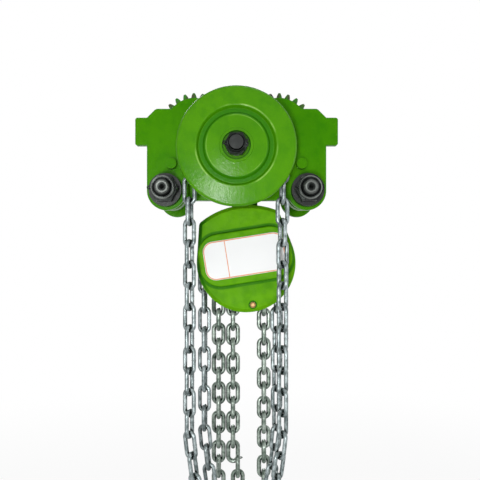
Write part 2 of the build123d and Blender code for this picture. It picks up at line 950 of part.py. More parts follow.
def hang(start, headings, flat, pitch, wire, station, twists=()):
    """Planes of successive links from a start pivot, and the pivot that they end at.

    Links lie flat and on edge by turns, each turned about its length by its twist. A flat link
    carries its pivots in its own wire, and a link on edge holds its neighbours' wire, so the two
    kinds step by different lengths.
    """
    planes = []
    x, z = start
    for heading, twist in zip(headings, twists or [0] * len(headings)):
        length = pitch + wire if flat else pitch - wire
        along = (cos(radians(heading)), 0, sin(radians(heading)))
        turn = radians(twist if flat else twist + 90)
        across = (-along[2] * cos(turn), -sin(turn), along[0] * cos(turn))
        centre = (x + along[0] * length / 2, -station, z + along[2] * length / 2)
        planes.append(Plane(origin=centre, x_dir=along, z_dir=across))
        x += along[0] * length
        z += along[2] * length
        flat = not flat
    return planes, (x, z)


def bight(count, flat, span, rise, pitch, wire):
    """Headings of free-hanging links between two pivots: the slope grows evenly link by link."""
    lengths = [pitch + (wire if flat == (i % 2 == 0) else -wire) for i in range(count)]

    def slopes(growth, shift):
        return [atan(growth * (i - (count - 1) / 2 - shift)) for i in range(count)]

    def growth_for(shift):
        low, high = 1e-3, 1e3
        for _ in range(60):
            middle = sqrt(low * high)
            reach = sum(length * cos(a) for length, a in zip(lengths, slopes(middle, shift)))
            low, high = (middle, high) if reach > span else (low, middle)
        return low

    low, high = -count / 2, count / 2
    for _ in range(60):
        shift = (low + high) / 2
        climb = sum(length * sin(a) for length, a in zip(lengths, slopes(growth_for(shift), shift)))
        low, high = (shift, high) if climb > rise else (low, shift)
    return [degrees(a) for a in slopes(growth_for(low), low)]


def over_wheel(pockets):
    """Headings of the links that pass over a chain wheel, from its right side to its left."""
    return [90 + link * 180 / pockets for link in range(pockets + 1)]


def wound(count, twist):
    """Twists of a run of links that winds up from square, link by link, and back to square."""
    return [min(twist, chain_twist_step * min(link, count - 1 - link)) for link in range(count)]


def hand_chain(start, pockets, flat, strand_links, bight_links, station, twists):
    """Endless hand chain: over its wheel, down the left, round the bight and up the right."""
    over = over_wheel(pockets)
    down = [270] * strand_links
    _, left_low = hang(start, over + down, flat, hand_pitch, hand_wire, station)
    _, right_low = hang(start, down, not flat, hand_pitch, hand_wire, station)
    low_flat = flat == ((len(over) + strand_links) % 2 == 0)
    span, rise = right_low[0] - left_low[0], right_low[1] - left_low[1]
    under = bight(bight_links, low_flat, span, rise, hand_pitch, hand_wire)
    headings = over + down + under + [90] * strand_links
    winding = strand_links + bight_links // 2 - 1
    left, right = (wound(winding, twist) for twist in twists)
    square = [0] * (len(headings) - len(over) - 2 * winding)
    turns = [0] * len(over) + left + square + right
    links, _ = hang(start, headings, flat, hand_pitch, hand_wire, station, turns)
    with BuildPart() as chain:
        with Locations(*links):
            add(chain_link(hand_pitch, hand_wire, hand_width))
    return chain.part


# Trolley hand chain, an endless loop over the trolley's chain wheel
right_x = link_offset(trolley_wheel_pockets, hand_pitch, hand_wire, True)
right_start = (right_x, pinion_height - (hand_pitch + hand_wire) / 2)
with BuildPart() as trolley_hand_chain:
    add(
        hand_chain(
            right_start,
            trolley_wheel_pockets,
            True,
            trolley_strand_links,
            trolley_bight_links,
            trolley_chain_station,
            trolley_chain_twists,
        )
    )

# The hoist hangs from its pin, tilted, so its axis is found from the pin
tilt_cos = cos(radians(hoist_tilt))
tilt_sin = sin(radians(hoist_tilt))
pin_u = (swing_pin_x - hoist_axis_x + hoist_pin_rise * tilt_sin) / tilt_cos
pin_v = hoist_pin_rise
hoist_axis_z = swing_pin_height - pin_u * tilt_sin - pin_v * tilt_cos


def hoist_point(u, v):
    """World X and Z of a point given across and up from the hoist's axis, in its tilted frame."""
    return hoist_axis_x + u * tilt_cos - v * tilt_sin, hoist_axis_z + u * tilt_sin + v * tilt_cos


def hoist_face(ahead):
    """Plane at a station that looks at the viewer, centred and tilted with the hoist."""
    return face(ahead, hoist_axis_x, hoist_axis_z, hoist_tilt)


def hoist_bar(radius, start, end, u=0.0, v=0.0, bore=0.0):
    """Round bar or tube of the hoist between two stations."""
    return bar(radius, start, end, *hoist_point(u, v), bore)


def hoist_turned(profile, u=0.0, v=0.0):
    """Turned solid of the hoist."""
    return turned(profile, *hoist_point(u, v))


# Stations of the hoist, front and back of the load chain's plane
frame_inner = frame_gap / 2
frame_outer = frame_inner + frame_thickness
hub_back = frame_outer + brake_gap
hub_front = hub_back + brake_hub_thickness
ratchet_back = hub_front + friction_thickness
ratchet_front = ratchet_back + ratchet_thickness
wheel_back = ratchet_front + friction_thickness
hoist_groove_front = hoist_chain_station + groove_half
wheel_front = 2 * hoist_chain_station - wheel_back
drive_nut_seat = wheel_front
drive_end = drive_nut_seat + drive_nut_height + seat_gap
band_front = cover_face_station + band_rise
load_gear_front = -frame_outer - gear_gap
load_gear_back = load_gear_front - load_gear_width
sheave_hub_end = load_gear_back - gear_gap
second_wheel_front = sheave_hub_end - gear_gap
second_wheel_back = second_wheel_front - second_wheel_width
cover_bush_front = second_wheel_back - gear_gap
cover_bush_back = cover_bush_front - second_bush_length
train_distance = train_module * (drive_pinion_teeth + second_wheel_teeth) / 2

# Straight sides of the cover run from its shoulders and touch its round lower part
shoulder_rise = cover_shoulder_height + cover_drop
shoulder_reach = hypot(cover_shoulder_width, shoulder_rise)
side_angle = atan(shoulder_rise / cover_shoulder_width) - acos(cover_radius / shoulder_reach)
side_u = cover_radius * cos(side_angle)
side_v = cover_radius * sin(side_angle) - cover_drop
cover_bottom = -cover_radius - cover_drop


def cover_outline(grow=0.0):
    """Outline of the hand wheel cover: round below, square shoulders and a crown above."""
    with BuildSketch() as outline:
        with BuildLine():
            ThreePointArc(
                (cover_shift - side_u, side_v), (cover_shift, cover_bottom), (cover_shift + side_u, side_v)
            )
            Line((cover_shift + side_u, side_v), (cover_shift + cover_shoulder_width, cover_shoulder_height))
            ThreePointArc(
                (cover_shift + cover_shoulder_width, cover_shoulder_height),
                (cover_shift, cover_crown_height),
                (cover_shift - cover_shoulder_width, cover_shoulder_height),
            )
            Line((cover_shift - cover_shoulder_width, cover_shoulder_height), (cover_shift - side_u, side_v))
        make_face()
        fillet(outline.vertices().group_by(Axis.Y)[-1], cover_corner_radius)
        if grow != 0:
            offset(amount=grow)
    return outline.sketch


def band_outline(grow=0.0):
    """Outline of the raised band across the cover."""
    with BuildSketch() as outline:
        with Locations((cover_shift, (band_low + band_high) / 2)):
            RectangleRounded(
                band_length + 2 * grow, band_high - band_low + 2 * grow, band_corner_radius + grow
            )
    return outline.sketch


# Load chain: from the hook's pin up, over the sheave, down in a slack bight and up to its anchor
load_x = hoist_axis_x + link_offset(sheave_pockets, load_pitch, load_wire, False)
sheave_right = (load_x, hoist_axis_z - (load_pitch - load_wire) / 2)
load_links, hook_pin = hang(sheave_right, [270] * load_strand_links, True, load_pitch, load_wire, 0)
slack_links, slack_end = hang(
    sheave_right, over_wheel(sheave_pockets) + [270] * slack_strand_links, False, load_pitch, load_wire, 0
)
anchor_pin = (slack_end[0] + slack_span, hoist_axis_z - anchor_drop)
anchor_links, anchor_low = hang(anchor_pin, [270] * anchor_strand_links, False, load_pitch, load_wire, 0)
bight_flat = slack_strand_links % 2 == 1
slack_low = bight(
    slack_bight_links, bight_flat, slack_span, anchor_low[1] - slack_end[1], load_pitch, load_wire
)
bight_links, _ = hang(slack_end, slack_low, bight_flat, load_pitch, load_wire, 0)
with BuildPart() as load_chain:
    with Locations(*load_links, *slack_links, *bight_links, *anchor_links):
        add(chain_link(load_pitch, load_wire, load_width))

# Frame plates: both the cover's outline with a rim, and a lug for the swing pin
sheave_bearing_bore = sheave_journal_radius + running_clearance


def frame_plate(start, depth):
    """Frame plate with its bearing, pin and stay holes."""
    with BuildPart() as body:
        with BuildSketch(hoist_face(start)):
            add(cover_outline(frame_rim))
            with Locations((pin_u, pin_v)):
                Circle(frame_lug_radius)
            Circle(sheave_bearing_radius + press_clearance, mode=Mode.SUBTRACT)
            with Locations((pin_u, pin_v)):
                Circle(swing_pin_radius + press_clearance, mode=Mode.SUBTRACT)
            with Locations(*stay_places):
                Circle(stay_radius + press_clearance, mode=Mode.SUBTRACT)
        extrude(amount=depth)
        with BuildSketch(face(start)):
            with Locations(anchor_pin):
                Circle(chain_pin_radius + press_clearance)
        extrude(amount=depth, mode=Mode.SUBTRACT)
    return body.part


pawl_pivots = [
    (pawl_pivot_radius * cos(radians(angle)), pawl_pivot_radius * sin(radians(angle)))
    for angle in pawl_angles
]
second_places = ((-train_distance, 0), (train_distance, 0))
screw_places = [(u * gear_screw_across / 2, v * gear_screw_up / 2) for u in (-1, 1) for v in (-1, 1)]

with BuildPart() as front_frame_plate:
    add(frame_plate(frame_inner, frame_thickness))
    with BuildSketch(hoist_face(frame_inner)):
        with Locations(*pawl_pivots):
            Circle(pawl_pin_radius + press_clearance)
    extrude(amount=frame_thickness, mode=Mode.SUBTRACT)

with BuildPart() as rear_frame_plate:
    add(frame_plate(-frame_inner, -frame_thickness))
    with BuildSketch(hoist_face(-frame_inner)):
        with Locations(*second_places):
            Circle(second_bush_radius + press_clearance)
        with Locations(*screw_places):
            Circle(gear_screw_radius + press_clearance)
    extrude(amount=-frame_thickness, mode=Mode.SUBTRACT)

with BuildPart() as sheave_bearings:
    for hand in (1, -1):
        inner = hand * frame_inner
        add(hoist_bar(sheave_bearing_radius, inner, hand * frame_outer, 0, 0, sheave_bearing_bore))

# Stays: shouldered bolts that hold the plates apart; the lowest one also carries the cover's nut
stay_tip = frame_outer + stay_nut_height + stay_end
stud_u, stud_v = stay_places[-1]
with BuildPart() as stay_bolts:
    for u, v in stay_places:
        add(
            hoist_turned(
                [
                    (0, -stay_tip),
                    (stay_radius, -stay_tip),
                    (stay_radius, -frame_inner),
                    (stay_collar_radius, -frame_inner),
                    (stay_collar_radius, frame_inner),
                    (stay_radius, frame_inner),
                    (stay_radius, stay_tip),
                    (0, stay_tip),
                ],
                u,
                v,
            )
        )
    add(hoist_bar(cover_stud_radius, stay_tip, cover_face_station + cover_nut_height, stud_u, stud_v))

with BuildPart() as stay_nuts:
    stay_bore = stay_radius + press_clearance
    for u, v in stay_places:
        x, z = hoist_point(u, v)
        for hand in (1, -1):
            add(hex_nut(stay_nut_flats, hand * stay_nut_height, stay_bore, hand * frame_outer, x, z))

# Swing pin: headed at the rear, and kept in by the cover that closes over its front end
with BuildPart() as swing_pin:
    pin_head = -frame_outer - swing_pin_head
    add(bar(swing_pin_radius, -frame_outer, frame_outer, swing_pin_x, swing_pin_height))
    add(bar(swing_pin_head_radius, pin_head, -frame_outer, swing_pin_x, swing_pin_height))

with BuildPart() as chain_stripper:
    with BuildSketch(hoist_face(-frame_inner)):
        with Locations((stripper_u, -(sheave_flange_radius + stripper_height / 2))):
            Rectangle(stripper_width, stripper_height)
        Circle(sheave_flange_radius + stripper_gap, mode=Mode.SUBTRACT)
    extrude(amount=frame_gap)

# Hand wheel cover: a deep pressing with a raised band, open at the back and slotted for the chain
hand_offset = link_offset(hoist_wheel_pockets, hand_pitch, hand_wire, True)
with BuildPart() as hand_wheel_cover:
    with BuildSketch(hoist_face(frame_outer)):
        add(cover_outline())
    extrude(amount=cover_face_station - cover_face_chamfer - frame_outer)
    with BuildSketch(hoist_face(cover_face_station - cover_face_chamfer)):
        add(cover_outline())
    extrude(amount=cover_face_chamfer, taper=45)
    with BuildSketch(hoist_face(cover_face_station - 2 * cover_face_chamfer)):
        add(band_outline())
    extrude(amount=2 * cover_face_chamfer + band_rise)
    fillet(hand_wheel_cover.faces().sort_by(Axis.Y)[0].outer_wire().edges(), band_edge_fillet)
    with BuildSketch(hoist_face(frame_outer)):
        add(cover_outline(-cover_wall))
    extrude(amount=cover_face_station - cover_face_chamfer - frame_outer, mode=Mode.SUBTRACT)
    with BuildSketch(hoist_face(cover_face_station - 2 * cover_face_chamfer)):
        add(cover_outline(-cover_wall - cover_face_chamfer))
    extrude(amount=2 * cover_face_chamfer - cover_wall, mode=Mode.SUBTRACT)
    with BuildSketch(hoist_face(cover_face_station - 2 * cover_face_chamfer)):
        add(band_outline(-cover_wall))
    extrude(amount=2 * cover_face_chamfer + band_rise - cover_wall, mode=Mode.SUBTRACT)
    with BuildSketch(hoist_face(cover_face_station - 2 * cover_face_chamfer)):
        with Locations((stud_u, stud_v)):
            Circle(cover_stud_radius + bolt_clearance)
    extrude(amount=4 * cover_face_chamfer, mode=Mode.SUBTRACT)
    for hand in (1, -1):
        slot_x = hoist_axis_x + hand * hand_offset
        with BuildSketch(face(hoist_chain_station - chain_slot_width / 2)):
            with Locations((slot_x, hoist_axis_z + cover_bottom)):
                Rectangle(chain_slot_width, 2 * chain_slot_rise)
        extrude(amount=chain_slot_width, mode=Mode.SUBTRACT)

with BuildPart() as label_plate:
    with BuildSketch(hoist_face(band_front)):
        with Locations(((label_left + label_right) / 2, (label_low + label_high) / 2)):
            RectangleRounded(label_right - label_left, label_high - label_low, label_corner_radius)
    extrude(amount=label_thickness)

with BuildPart() as cover_nut:
    x, z = hoist_point(stud_u, stud_v)
    nut_bore = cover_stud_radius + press_clearance
    add(hex_nut(cover_nut_flats, cover_nut_height, nut_bore, cover_face_station, x, z))

# Drive: shaft, brake stack and hand wheel, which turn together when the hoist lifts
with BuildPart() as drive_shaft:
    add(
        hoist_turned(
            [
                (0, cover_bush_back),
                (second_journal_radius, cover_bush_back),
                (second_journal_radius, second_wheel_back),
                (drive_radius, second_wheel_back),
                (drive_radius, hub_back),
                (drive_front_radius, hub_back),
                (drive_front_radius, drive_nut_seat),
                (drive_thread_radius, drive_nut_seat),
                (drive_thread_radius, drive_end),
                (0, drive_end),
            ]
        )
    )
    with BuildSketch(hoist_face(second_wheel_back)):
        add(gear_outline(train_module, drive_pinion_teeth, train_play))
    extrude(amount=second_wheel_width)

with BuildPart() as brake_hub:
    hub_bore = drive_front_radius + press_clearance
    add(
        hoist_turned(
            [
                (hub_bore, hub_back),
                (brake_hub_radius, hub_back),
                (brake_hub_radius, hub_front),
                (brake_sleeve_radius, hub_front),
                (brake_sleeve_radius, wheel_back - seat_gap),
                (hub_bore, wheel_back - seat_gap),
            ]
        )
    )

ratchet_bore = brake_sleeve_radius + running_clearance
with BuildPart() as friction_discs:
    for start in (hub_front, ratchet_front):
        add(hoist_bar(friction_radius, start, start + friction_thickness, 0, 0, ratchet_bore))

with BuildPart() as ratchet_disc:
    with BuildSketch(hoist_face(ratchet_back)):
        with BuildLine():
            corners = []
            for tooth in range(ratchet_teeth):
                start = tooth * 360 / ratchet_teeth
                for radius, angle in (
                    (ratchet_root_radius, start),
                    (ratchet_tip_radius, start),
                    (ratchet_tip_radius, start + 60 / ratchet_teeth),
                ):
                    corners.append((radius * cos(radians(angle)), radius * sin(radians(angle))))
            Polyline(*corners, close=True)
        make_face()
        Circle(ratchet_bore, mode=Mode.SUBTRACT)
    extrude(amount=ratchet_thickness)

with BuildPart() as hoist_hand_wheel:
    land = land_radius(hoist_wheel_pockets, hand_pitch, hand_wire)
    slot = slot_radius(hoist_wheel_pockets, hand_pitch, hand_wire, hand_width)
    rim_inner = slot - 2 * cover_wall
    web_front = hoist_chain_station + slot_half
    add(
        hoist_turned(
            [
                (drive_front_radius + press_clearance, wheel_back),
                (hoist_wheel_flange_radius, wheel_back),
                (hoist_wheel_flange_radius, wheel_back + wheel_flange_taper),
                (land, hoist_chain_station - groove_half),
                (land, hoist_chain_station - slot_half),
                (slot, hoist_chain_station - slot_half),
                (slot, hoist_chain_station + slot_half),
                (land, hoist_chain_station + slot_half),
                (land, hoist_groove_front),
                (hoist_wheel_flange_radius, wheel_front - wheel_flange_taper),
                (hoist_wheel_flange_radius, wheel_front),
                (rim_inner, wheel_front),
                (rim_inner, web_front),
                (hoist_wheel_hub_radius, web_front),
                (hoist_wheel_hub_radius, wheel_front),
                (drive_front_radius + press_clearance, wheel_front),
            ]
        )
    )
    add(
        cut_pockets(
            hoist_wheel_pockets,
            hand_pitch,
            hand_wire,
            hand_width,
            hoist_chain_station,
            hoist_axis_x,
            hoist_axis_z,
            0,
        ),
        mode=Mode.SUBTRACT,
    )

with BuildPart() as drive_nut:
    nut_bore = drive_thread_radius + press_clearance
    add(hex_nut(drive_nut_flats, drive_nut_height, nut_bore, drive_nut_seat, hoist_axis_x, hoist_axis_z))

# Hoist hand chain, an endless loop over the hoist's hand wheel
hoist_start = (hoist_axis_x + hand_offset, hoist_axis_z - (hand_pitch + hand_wire) / 2)
with BuildPart() as hoist_hand_chain:
    add(
        hand_chain(
            hoist_start,
            hoist_wheel_pockets,
            True,
            hoist_strand_links,
            hoist_bight_links,
            hoist_chain_station,
            hoist_chain_twists,
        )
    )

# Pawls: they ride on the ratchet's tips while the hoist lifts, and drop in to hold the load
pawl_back = ratchet_back + seat_gap
pawl_front = ratchet_front - seat_gap
pawl_pin_head = pawl_front + seat_gap
nose_centre_radius = ratchet_tip_radius + pawl_nose_gap + pawl_nose_radius
nose_lead = degrees(
    acos(
        (pawl_pivot_radius**2 + nose_centre_radius**2 - pawl_length**2)
        / (2 * pawl_pivot_radius * nose_centre_radius)
    )
)
pawls = {}
for pawl_name, angle, pivot in zip(("upper", "lower"), pawl_angles, pawl_pivots):
    nose_angle = radians(angle + nose_lead)
    with BuildPart() as pawl:
        with BuildSketch(hoist_face(pawl_back)):
            with Locations(pivot):
                Circle(pawl_boss_radius)
            with Locations((nose_centre_radius * cos(nose_angle), nose_centre_radius * sin(nose_angle))):
                Circle(pawl_nose_radius)
            make_hull()
            with Locations(pivot):
                Circle(pawl_pin_radius + running_clearance, mode=Mode.SUBTRACT)
        extrude(amount=pawl_front - pawl_back)
    pawls[f"{pawl_name}_pawl"] = pawl

with BuildPart() as pawl_pins:
    for u, v in pawl_pivots:
        add(
            hoist_turned(
                [
                    (0, frame_inner),
                    (pawl_pin_radius, frame_inner),
                    (pawl_pin_radius, pawl_pin_head),
                    (pawl_spring_radius, pawl_pin_head),
                    (pawl_spring_radius, pawl_pin_head + pawl_ring_thickness),
                    (0, pawl_pin_head + pawl_ring_thickness),
                ],
                u,
                v,
            )
        )

with BuildPart() as pawl_springs:
    for u, v in pawl_pivots:
        spring_end = pawl_back - seat_gap
        add(hoist_bar(pawl_spring_radius, frame_outer, spring_end, u, v, pawl_pin_radius + press_clearance))

# Load sheave with its journals, and the reduction gears behind the rear plate
load_slot_half = load_wire / 2 + 2 * wheel_chain_clearance
load_groove_half = load_width / 2 + wheel_chain_clearance
sheave_side = frame_inner - sheave_side_gap
with BuildPart() as load_sheave:
    first_pocket = 180 / sheave_pockets
    land = land_radius(sheave_pockets, load_pitch, load_wire)
    slot = slot_radius(sheave_pockets, load_pitch, load_wire, load_width)
    sheave_bore = drive_radius + running_clearance
    add(
        hoist_turned(
            [
                (sheave_bore, sheave_hub_end),
                (sheave_hub_radius, sheave_hub_end),
                (sheave_hub_radius, load_gear_front),
                (sheave_journal_radius, load_gear_front),
                (sheave_journal_radius, -sheave_side),
                (sheave_flange_radius, -sheave_side),
                (sheave_flange_radius, -load_groove_half),
                (land, -load_groove_half),
                (land, -load_slot_half),
                (slot, -load_slot_half),
                (slot, load_slot_half),
                (land, load_slot_half),
                (land, load_groove_half),
                (sheave_flange_radius, load_groove_half),
                (sheave_flange_radius, sheave_side),
                (sheave_journal_radius, sheave_side),
                (sheave_journal_radius, frame_outer),
                (sheave_bore, frame_outer),
            ]
        )
    )
    add(
        cut_pockets(
            sheave_pockets, load_pitch, load_wire, load_width, 0, hoist_axis_x, hoist_axis_z, first_pocket
        ),
        mode=Mode.SUBTRACT,
    )

# The small second pinion has a gap where the load gear's tooth stands, so both pairs mesh at rest
with BuildPart() as load_gear:
    with BuildSketch(hoist_face(load_gear_back)):
        add(gear_outline(train_module, load_gear_teeth, train_play))
        Circle(sheave_hub_radius + press_clearance, mode=Mode.SUBTRACT)
    extrude(amount=load_gear_width)

second_gears = {}
for side_name, (u, v) in zip(("left", "right"), second_places):
    towards_axis = 0 if u < 0 else 180
    with BuildPart() as second_gear:
        add(
            hoist_turned(
                [
                    (0, cover_bush_back),
                    (second_journal_radius, cover_bush_back),
                    (second_journal_radius, -frame_inner),
                    (0, -frame_inner),
                ],
                u,
                v,
            )
        )
        with BuildSketch(hoist_face(load_gear_back - gear_gap)):
            with Locations((u, v)):
                add(
                    gear_outline(
                        train_module,
                        second_pinion_teeth,
                        train_play,
                        towards_axis + 180 / second_pinion_teeth,
                    )
                )
        extrude(amount=load_gear_width + gear_gap)
        with BuildSketch(hoist_face(second_wheel_back)):
            with Locations((u, v)):
                add(
                    gear_outline(
                        train_module,
                        second_wheel_teeth,
                        train_play,
                        towards_axis + 180 / second_wheel_teeth,
                    )
                )
        extrude(amount=second_wheel_width)
    second_gears[f"second_gear_{side_name}"] = second_gear

with BuildPart() as gear_bushes:
    bush_bore = second_journal_radius + running_clearance
    for u, v in second_places:
        add(hoist_bar(second_bush_radius, -frame_outer, -frame_inner, u, v, bush_bore))
    for u, v in (*second_places, (0, 0)):
        add(hoist_bar(second_bush_radius, cover_bush_back, cover_bush_front, u, v, bush_bore))

gear_cover_back = cover_bush_back - seat_gap - gear_cover_wall


def gear_cover_outline(grow=0.0):
    """Outline that goes round both second gears and the load gear."""
    with BuildSketch() as outline:
        with Locations(*second_places):
            Circle(gear_cover_end_radius + grow)
        Circle(gear_cover_middle_radius + grow)
        make_hull()
    return outline.sketch


with BuildPart() as gear_cover:
    with BuildSketch(hoist_face(gear_cover_back)):
        add(gear_cover_outline())
    extrude(amount=-frame_outer - gear_cover_back)
    fillet(gear_cover.faces().sort_by(Axis.Y)[-1].outer_wire().edges(), gear_cover_fillet)
    with BuildSketch(hoist_face(-frame_outer - gear_flange_thickness)):
        with Locations(*screw_places):
            Circle(gear_ear_radius)
        add(gear_cover_outline(-gear_cover_wall))
    extrude(amount=gear_flange_thickness)
    with BuildSketch(hoist_face(gear_cover_back + gear_cover_wall)):
        add(gear_cover_outline(-gear_cover_wall))
    extrude(amount=-frame_outer - gear_cover_back - gear_cover_wall, mode=Mode.SUBTRACT)
    for u, v in (*second_places, (0, 0)):
        add(hoist_bar(gear_boss_radius, gear_cover_back + gear_cover_wall, cover_bush_front, u, v))
    with BuildSketch(hoist_face(cover_bush_back)):
        with Locations(*second_places, (0, 0)):
            Circle(second_bush_radius + press_clearance)
    extrude(amount=second_bush_length, mode=Mode.SUBTRACT)
    with BuildSketch(hoist_face(-frame_outer - gear_flange_thickness)):
        with Locations(*screw_places):
            Circle(gear_screw_radius + press_clearance)
    extrude(amount=gear_flange_thickness, mode=Mode.SUBTRACT)

with BuildPart() as gear_cover_screws:
    for u, v in screw_places:
        head = -frame_outer - gear_flange_thickness
        add(hoist_bar(gear_screw_radius, head, -frame_inner, u, v))
        add(hoist_bar(gear_screw_head_radius, head - gear_screw_head_height, head, u, v))

# Bottom block: two halves bolted round the chain's pin and the hook's collar
pin_x, pin_z = hook_pin
block_top = pin_z + block_above_pin
block_bottom = pin_z - block_below_pin
collar_top = pin_z - collar_drop
collar_bottom = collar_top - collar_height
half_depth = frame_outer
bolt_offset = block_width / 2 - block_bolt_inset
block_bolt_places = [(pin_x + hand * bolt_offset, pin_z - block_bolt_drop) for hand in (-1, 1)]


def block_half(hand):
    """One half of the bottom block, hollowed for the last link, the pin and the hook's collar."""
    with BuildPart() as body:
        with BuildSketch(face(0, pin_x, (block_top + block_bottom) / 2)):
            RectangleRounded(block_width, block_top - block_bottom, block_corner_radius)
        extrude(amount=hand * half_depth)
        outer = body.faces().sort_by(Axis.Y)[0 if hand > 0 else -1]
        fillet(outer.outer_wire().edges(), block_edge_fillet)
        with Locations((pin_x, 0, pin_z)):
            Box(
                load_width + 2 * wheel_chain_clearance,
                load_wire + 2 * wheel_chain_clearance,
                2 * link_end_depth,
                mode=Mode.SUBTRACT,
            )
        with Locations((pin_x, 0, collar_top - collar_height / 2)):
            Cylinder(collar_radius + seat_gap, collar_height + 2 * seat_gap, mode=Mode.SUBTRACT)
        with Locations((pin_x, 0, block_bottom)):
            throat = 2 * (collar_bottom - block_bottom)
            Cylinder(shank_radius + running_clearance, throat, mode=Mode.SUBTRACT)
        with BuildSketch(face(0)):
            with Locations((pin_x, pin_z)):
                Circle(chain_pin_radius + press_clearance)
            with Locations(*block_bolt_places):
                Circle(block_bolt_radius + press_clearance)
        extrude(amount=hand * half_depth, mode=Mode.SUBTRACT)
    return body.part


with BuildPart() as block_front_half:
    add(block_half(1))

with BuildPart() as block_rear_half:
    add(block_half(-1))

# Two equal pins hold the load chain's ends, one in the frame and one in the block
with BuildPart() as chain_pins:
    for x, z in (anchor_pin, hook_pin):
        add(bar(chain_pin_radius, -frame_outer, frame_outer, x, z))

with BuildPart() as block_bolts:
    for x, z in block_bolt_places:
        add(bar(block_bolt_radius, -half_depth, half_depth, x, z))
        add(hex_nut(block_bolt_flats, block_bolt_head, 0, half_depth, x, z))

# Hook: a forged round bar bent to a bowl under its shank, hung by a collar that swivels in the block
hook_bend = hook_bowl_radius + hook_radius
hook_start = block_bottom - block_hook_gap
neck_start = hook_start - hook_shank_length
bowl_x = pin_x - hook_bend + 2 * hook_bend * cos(radians(hook_neck_turn))
bowl_z = neck_start - 2 * hook_bend * sin(radians(hook_neck_turn))
tip_angle = radians(180 - hook_neck_turn + hook_wrap)
latch_x = pin_x + latch_pivot_offset
latch_z = neck_start - latch_pivot_drop
with BuildPart() as load_hook:
    with BuildLine(face(0)) as hook_path:
        Line((pin_x, hook_start), (pin_x, neck_start))
        CenterArc((pin_x - hook_bend, neck_start), hook_bend, 0, -hook_neck_turn)
        CenterArc((bowl_x, bowl_z), hook_bend, 180 - hook_neck_turn, hook_wrap)
    with BuildSketch(Plane(origin=(pin_x, 0, hook_start), z_dir=(0, 0, -1))):
        Circle(hook_radius)
    sweep(path=hook_path.line)
    with Locations((bowl_x + hook_bend * cos(tip_angle), 0, bowl_z + hook_bend * sin(tip_angle))):
        Sphere(hook_radius)
    with Locations((pin_x, 0, (hook_start + collar_bottom) / 2)):
        Cylinder(shank_radius, collar_bottom - hook_start)
    with Locations((pin_x, 0, (collar_top + collar_bottom) / 2)):
        Cylinder(collar_radius, collar_height)
    with BuildSketch(face(0, latch_x, latch_z)):
        Circle(latch_pin_radius + press_clearance)
    extrude(amount=2 * hook_radius, both=True, mode=Mode.SUBTRACT)

# Latch: two arms outside the hook's neck, joined by a web and a rounded toe behind the hook's tip
arm_inner = hook_radius + seat_gap
arm_outer = arm_inner + latch_thickness
latch_heading = degrees(atan(-latch_drop / latch_reach))
latch_length = hypot(latch_reach, latch_drop)
with BuildPart() as hook_latch:
    latch_plane = face(-arm_outer, latch_x, latch_z, latch_heading)
    with BuildSketch(latch_plane):
        Circle(latch_eye_radius)
        with Locations((latch_length, 0)):
            Circle(latch_toe_radius)
        make_hull()
        Circle(latch_pin_radius + running_clearance, mode=Mode.SUBTRACT)
    extrude(amount=2 * arm_outer)
    with BuildSketch(face(-arm_inner, latch_x, latch_z, latch_heading)):
        Rectangle(2 * (latch_length - latch_web_length), 4 * latch_eye_radius)
    extrude(amount=2 * arm_inner, mode=Mode.SUBTRACT)

spring_start = arm_outer + seat_gap
spring_end = spring_start + latch_spring_length
with BuildPart() as latch_pin:
    add(bar(latch_pin_radius, -spring_start, spring_end, latch_x, latch_z))
    add(bar(latch_pin_head_radius, spring_end, spring_end + latch_pin_head, latch_x, latch_z))
    add(bar(latch_pin_head_radius, -spring_start - latch_pin_head, -spring_start, latch_x, latch_z))

with BuildPart() as latch_spring:
    spring_bore = latch_pin_radius + press_clearance
    add(bar(latch_spring_radius, spring_start, spring_end, latch_x, latch_z, spring_bore))

pieces = {
    "front_side_plate": front_side_plate,
    "rear_side_plate": rear_side_plate,
    **wheels,
    "wheel_bearings": wheel_bearings,
    "wheel_axles": wheel_axles,
    "axle_rings": axle_rings,
    "axle_nuts": axle_nuts,
    "pinion_bush": pinion_bush,
    "pinion_shaft": pinion_shaft,
    "trolley_hand_wheel": trolley_hand_wheel,
    "hand_wheel_washer": hand_wheel_washer,
    "hand_wheel_nut": hand_wheel_nut,
    "hand_wheel_split_pin": hand_wheel_split_pin,
    "suspension_bolts": suspension_bolts,
    "suspension_nuts": suspension_nuts,
    "suspension_split_pins": suspension_split_pins,
    "adjusting_washers": adjusting_washers,
    "spacer_tubes": spacer_tubes,
    "hanger_bar": hanger_bar,
    "trolley_hand_chain": trolley_hand_chain,
    "front_frame_plate": front_frame_plate,
    "rear_frame_plate": rear_frame_plate,
    "sheave_bearings": sheave_bearings,
    "stay_bolts": stay_bolts,
    "stay_nuts": stay_nuts,
    "swing_pin": swing_pin,
    "chain_stripper": chain_stripper,
    "hand_wheel_cover": hand_wheel_cover,
    "label_plate": label_plate,
    "cover_nut": cover_nut,
    "drive_shaft": drive_shaft,
    "brake_hub": brake_hub,
    "friction_discs": friction_discs,
    "ratchet_disc": ratchet_disc,
    "hoist_hand_wheel": hoist_hand_wheel,
    "drive_nut": drive_nut,
    "hoist_hand_chain": hoist_hand_chain,
    **pawls,
    "pawl_pins": pawl_pins,
    "pawl_springs": pawl_springs,
    "load_sheave": load_sheave,
    "load_gear": load_gear,
    **second_gears,
    "gear_bushes": gear_bushes,
    "gear_cover": gear_cover,
    "gear_cover_screws": gear_cover_screws,
    "load_chain": load_chain,
    "block_front_half": block_front_half,
    "block_rear_half": block_rear_half,
    "chain_pins": chain_pins,
    "block_bolts": block_bolts,
    "load_hook": load_hook,
    "hook_latch": hook_latch,
    "latch_pin": latch_pin,
    "latch_spring": latch_spring,
}
for name, piece in pieces.items():
    piece.part.label = name
    export_step(piece.part, f"parts/{name}.step")
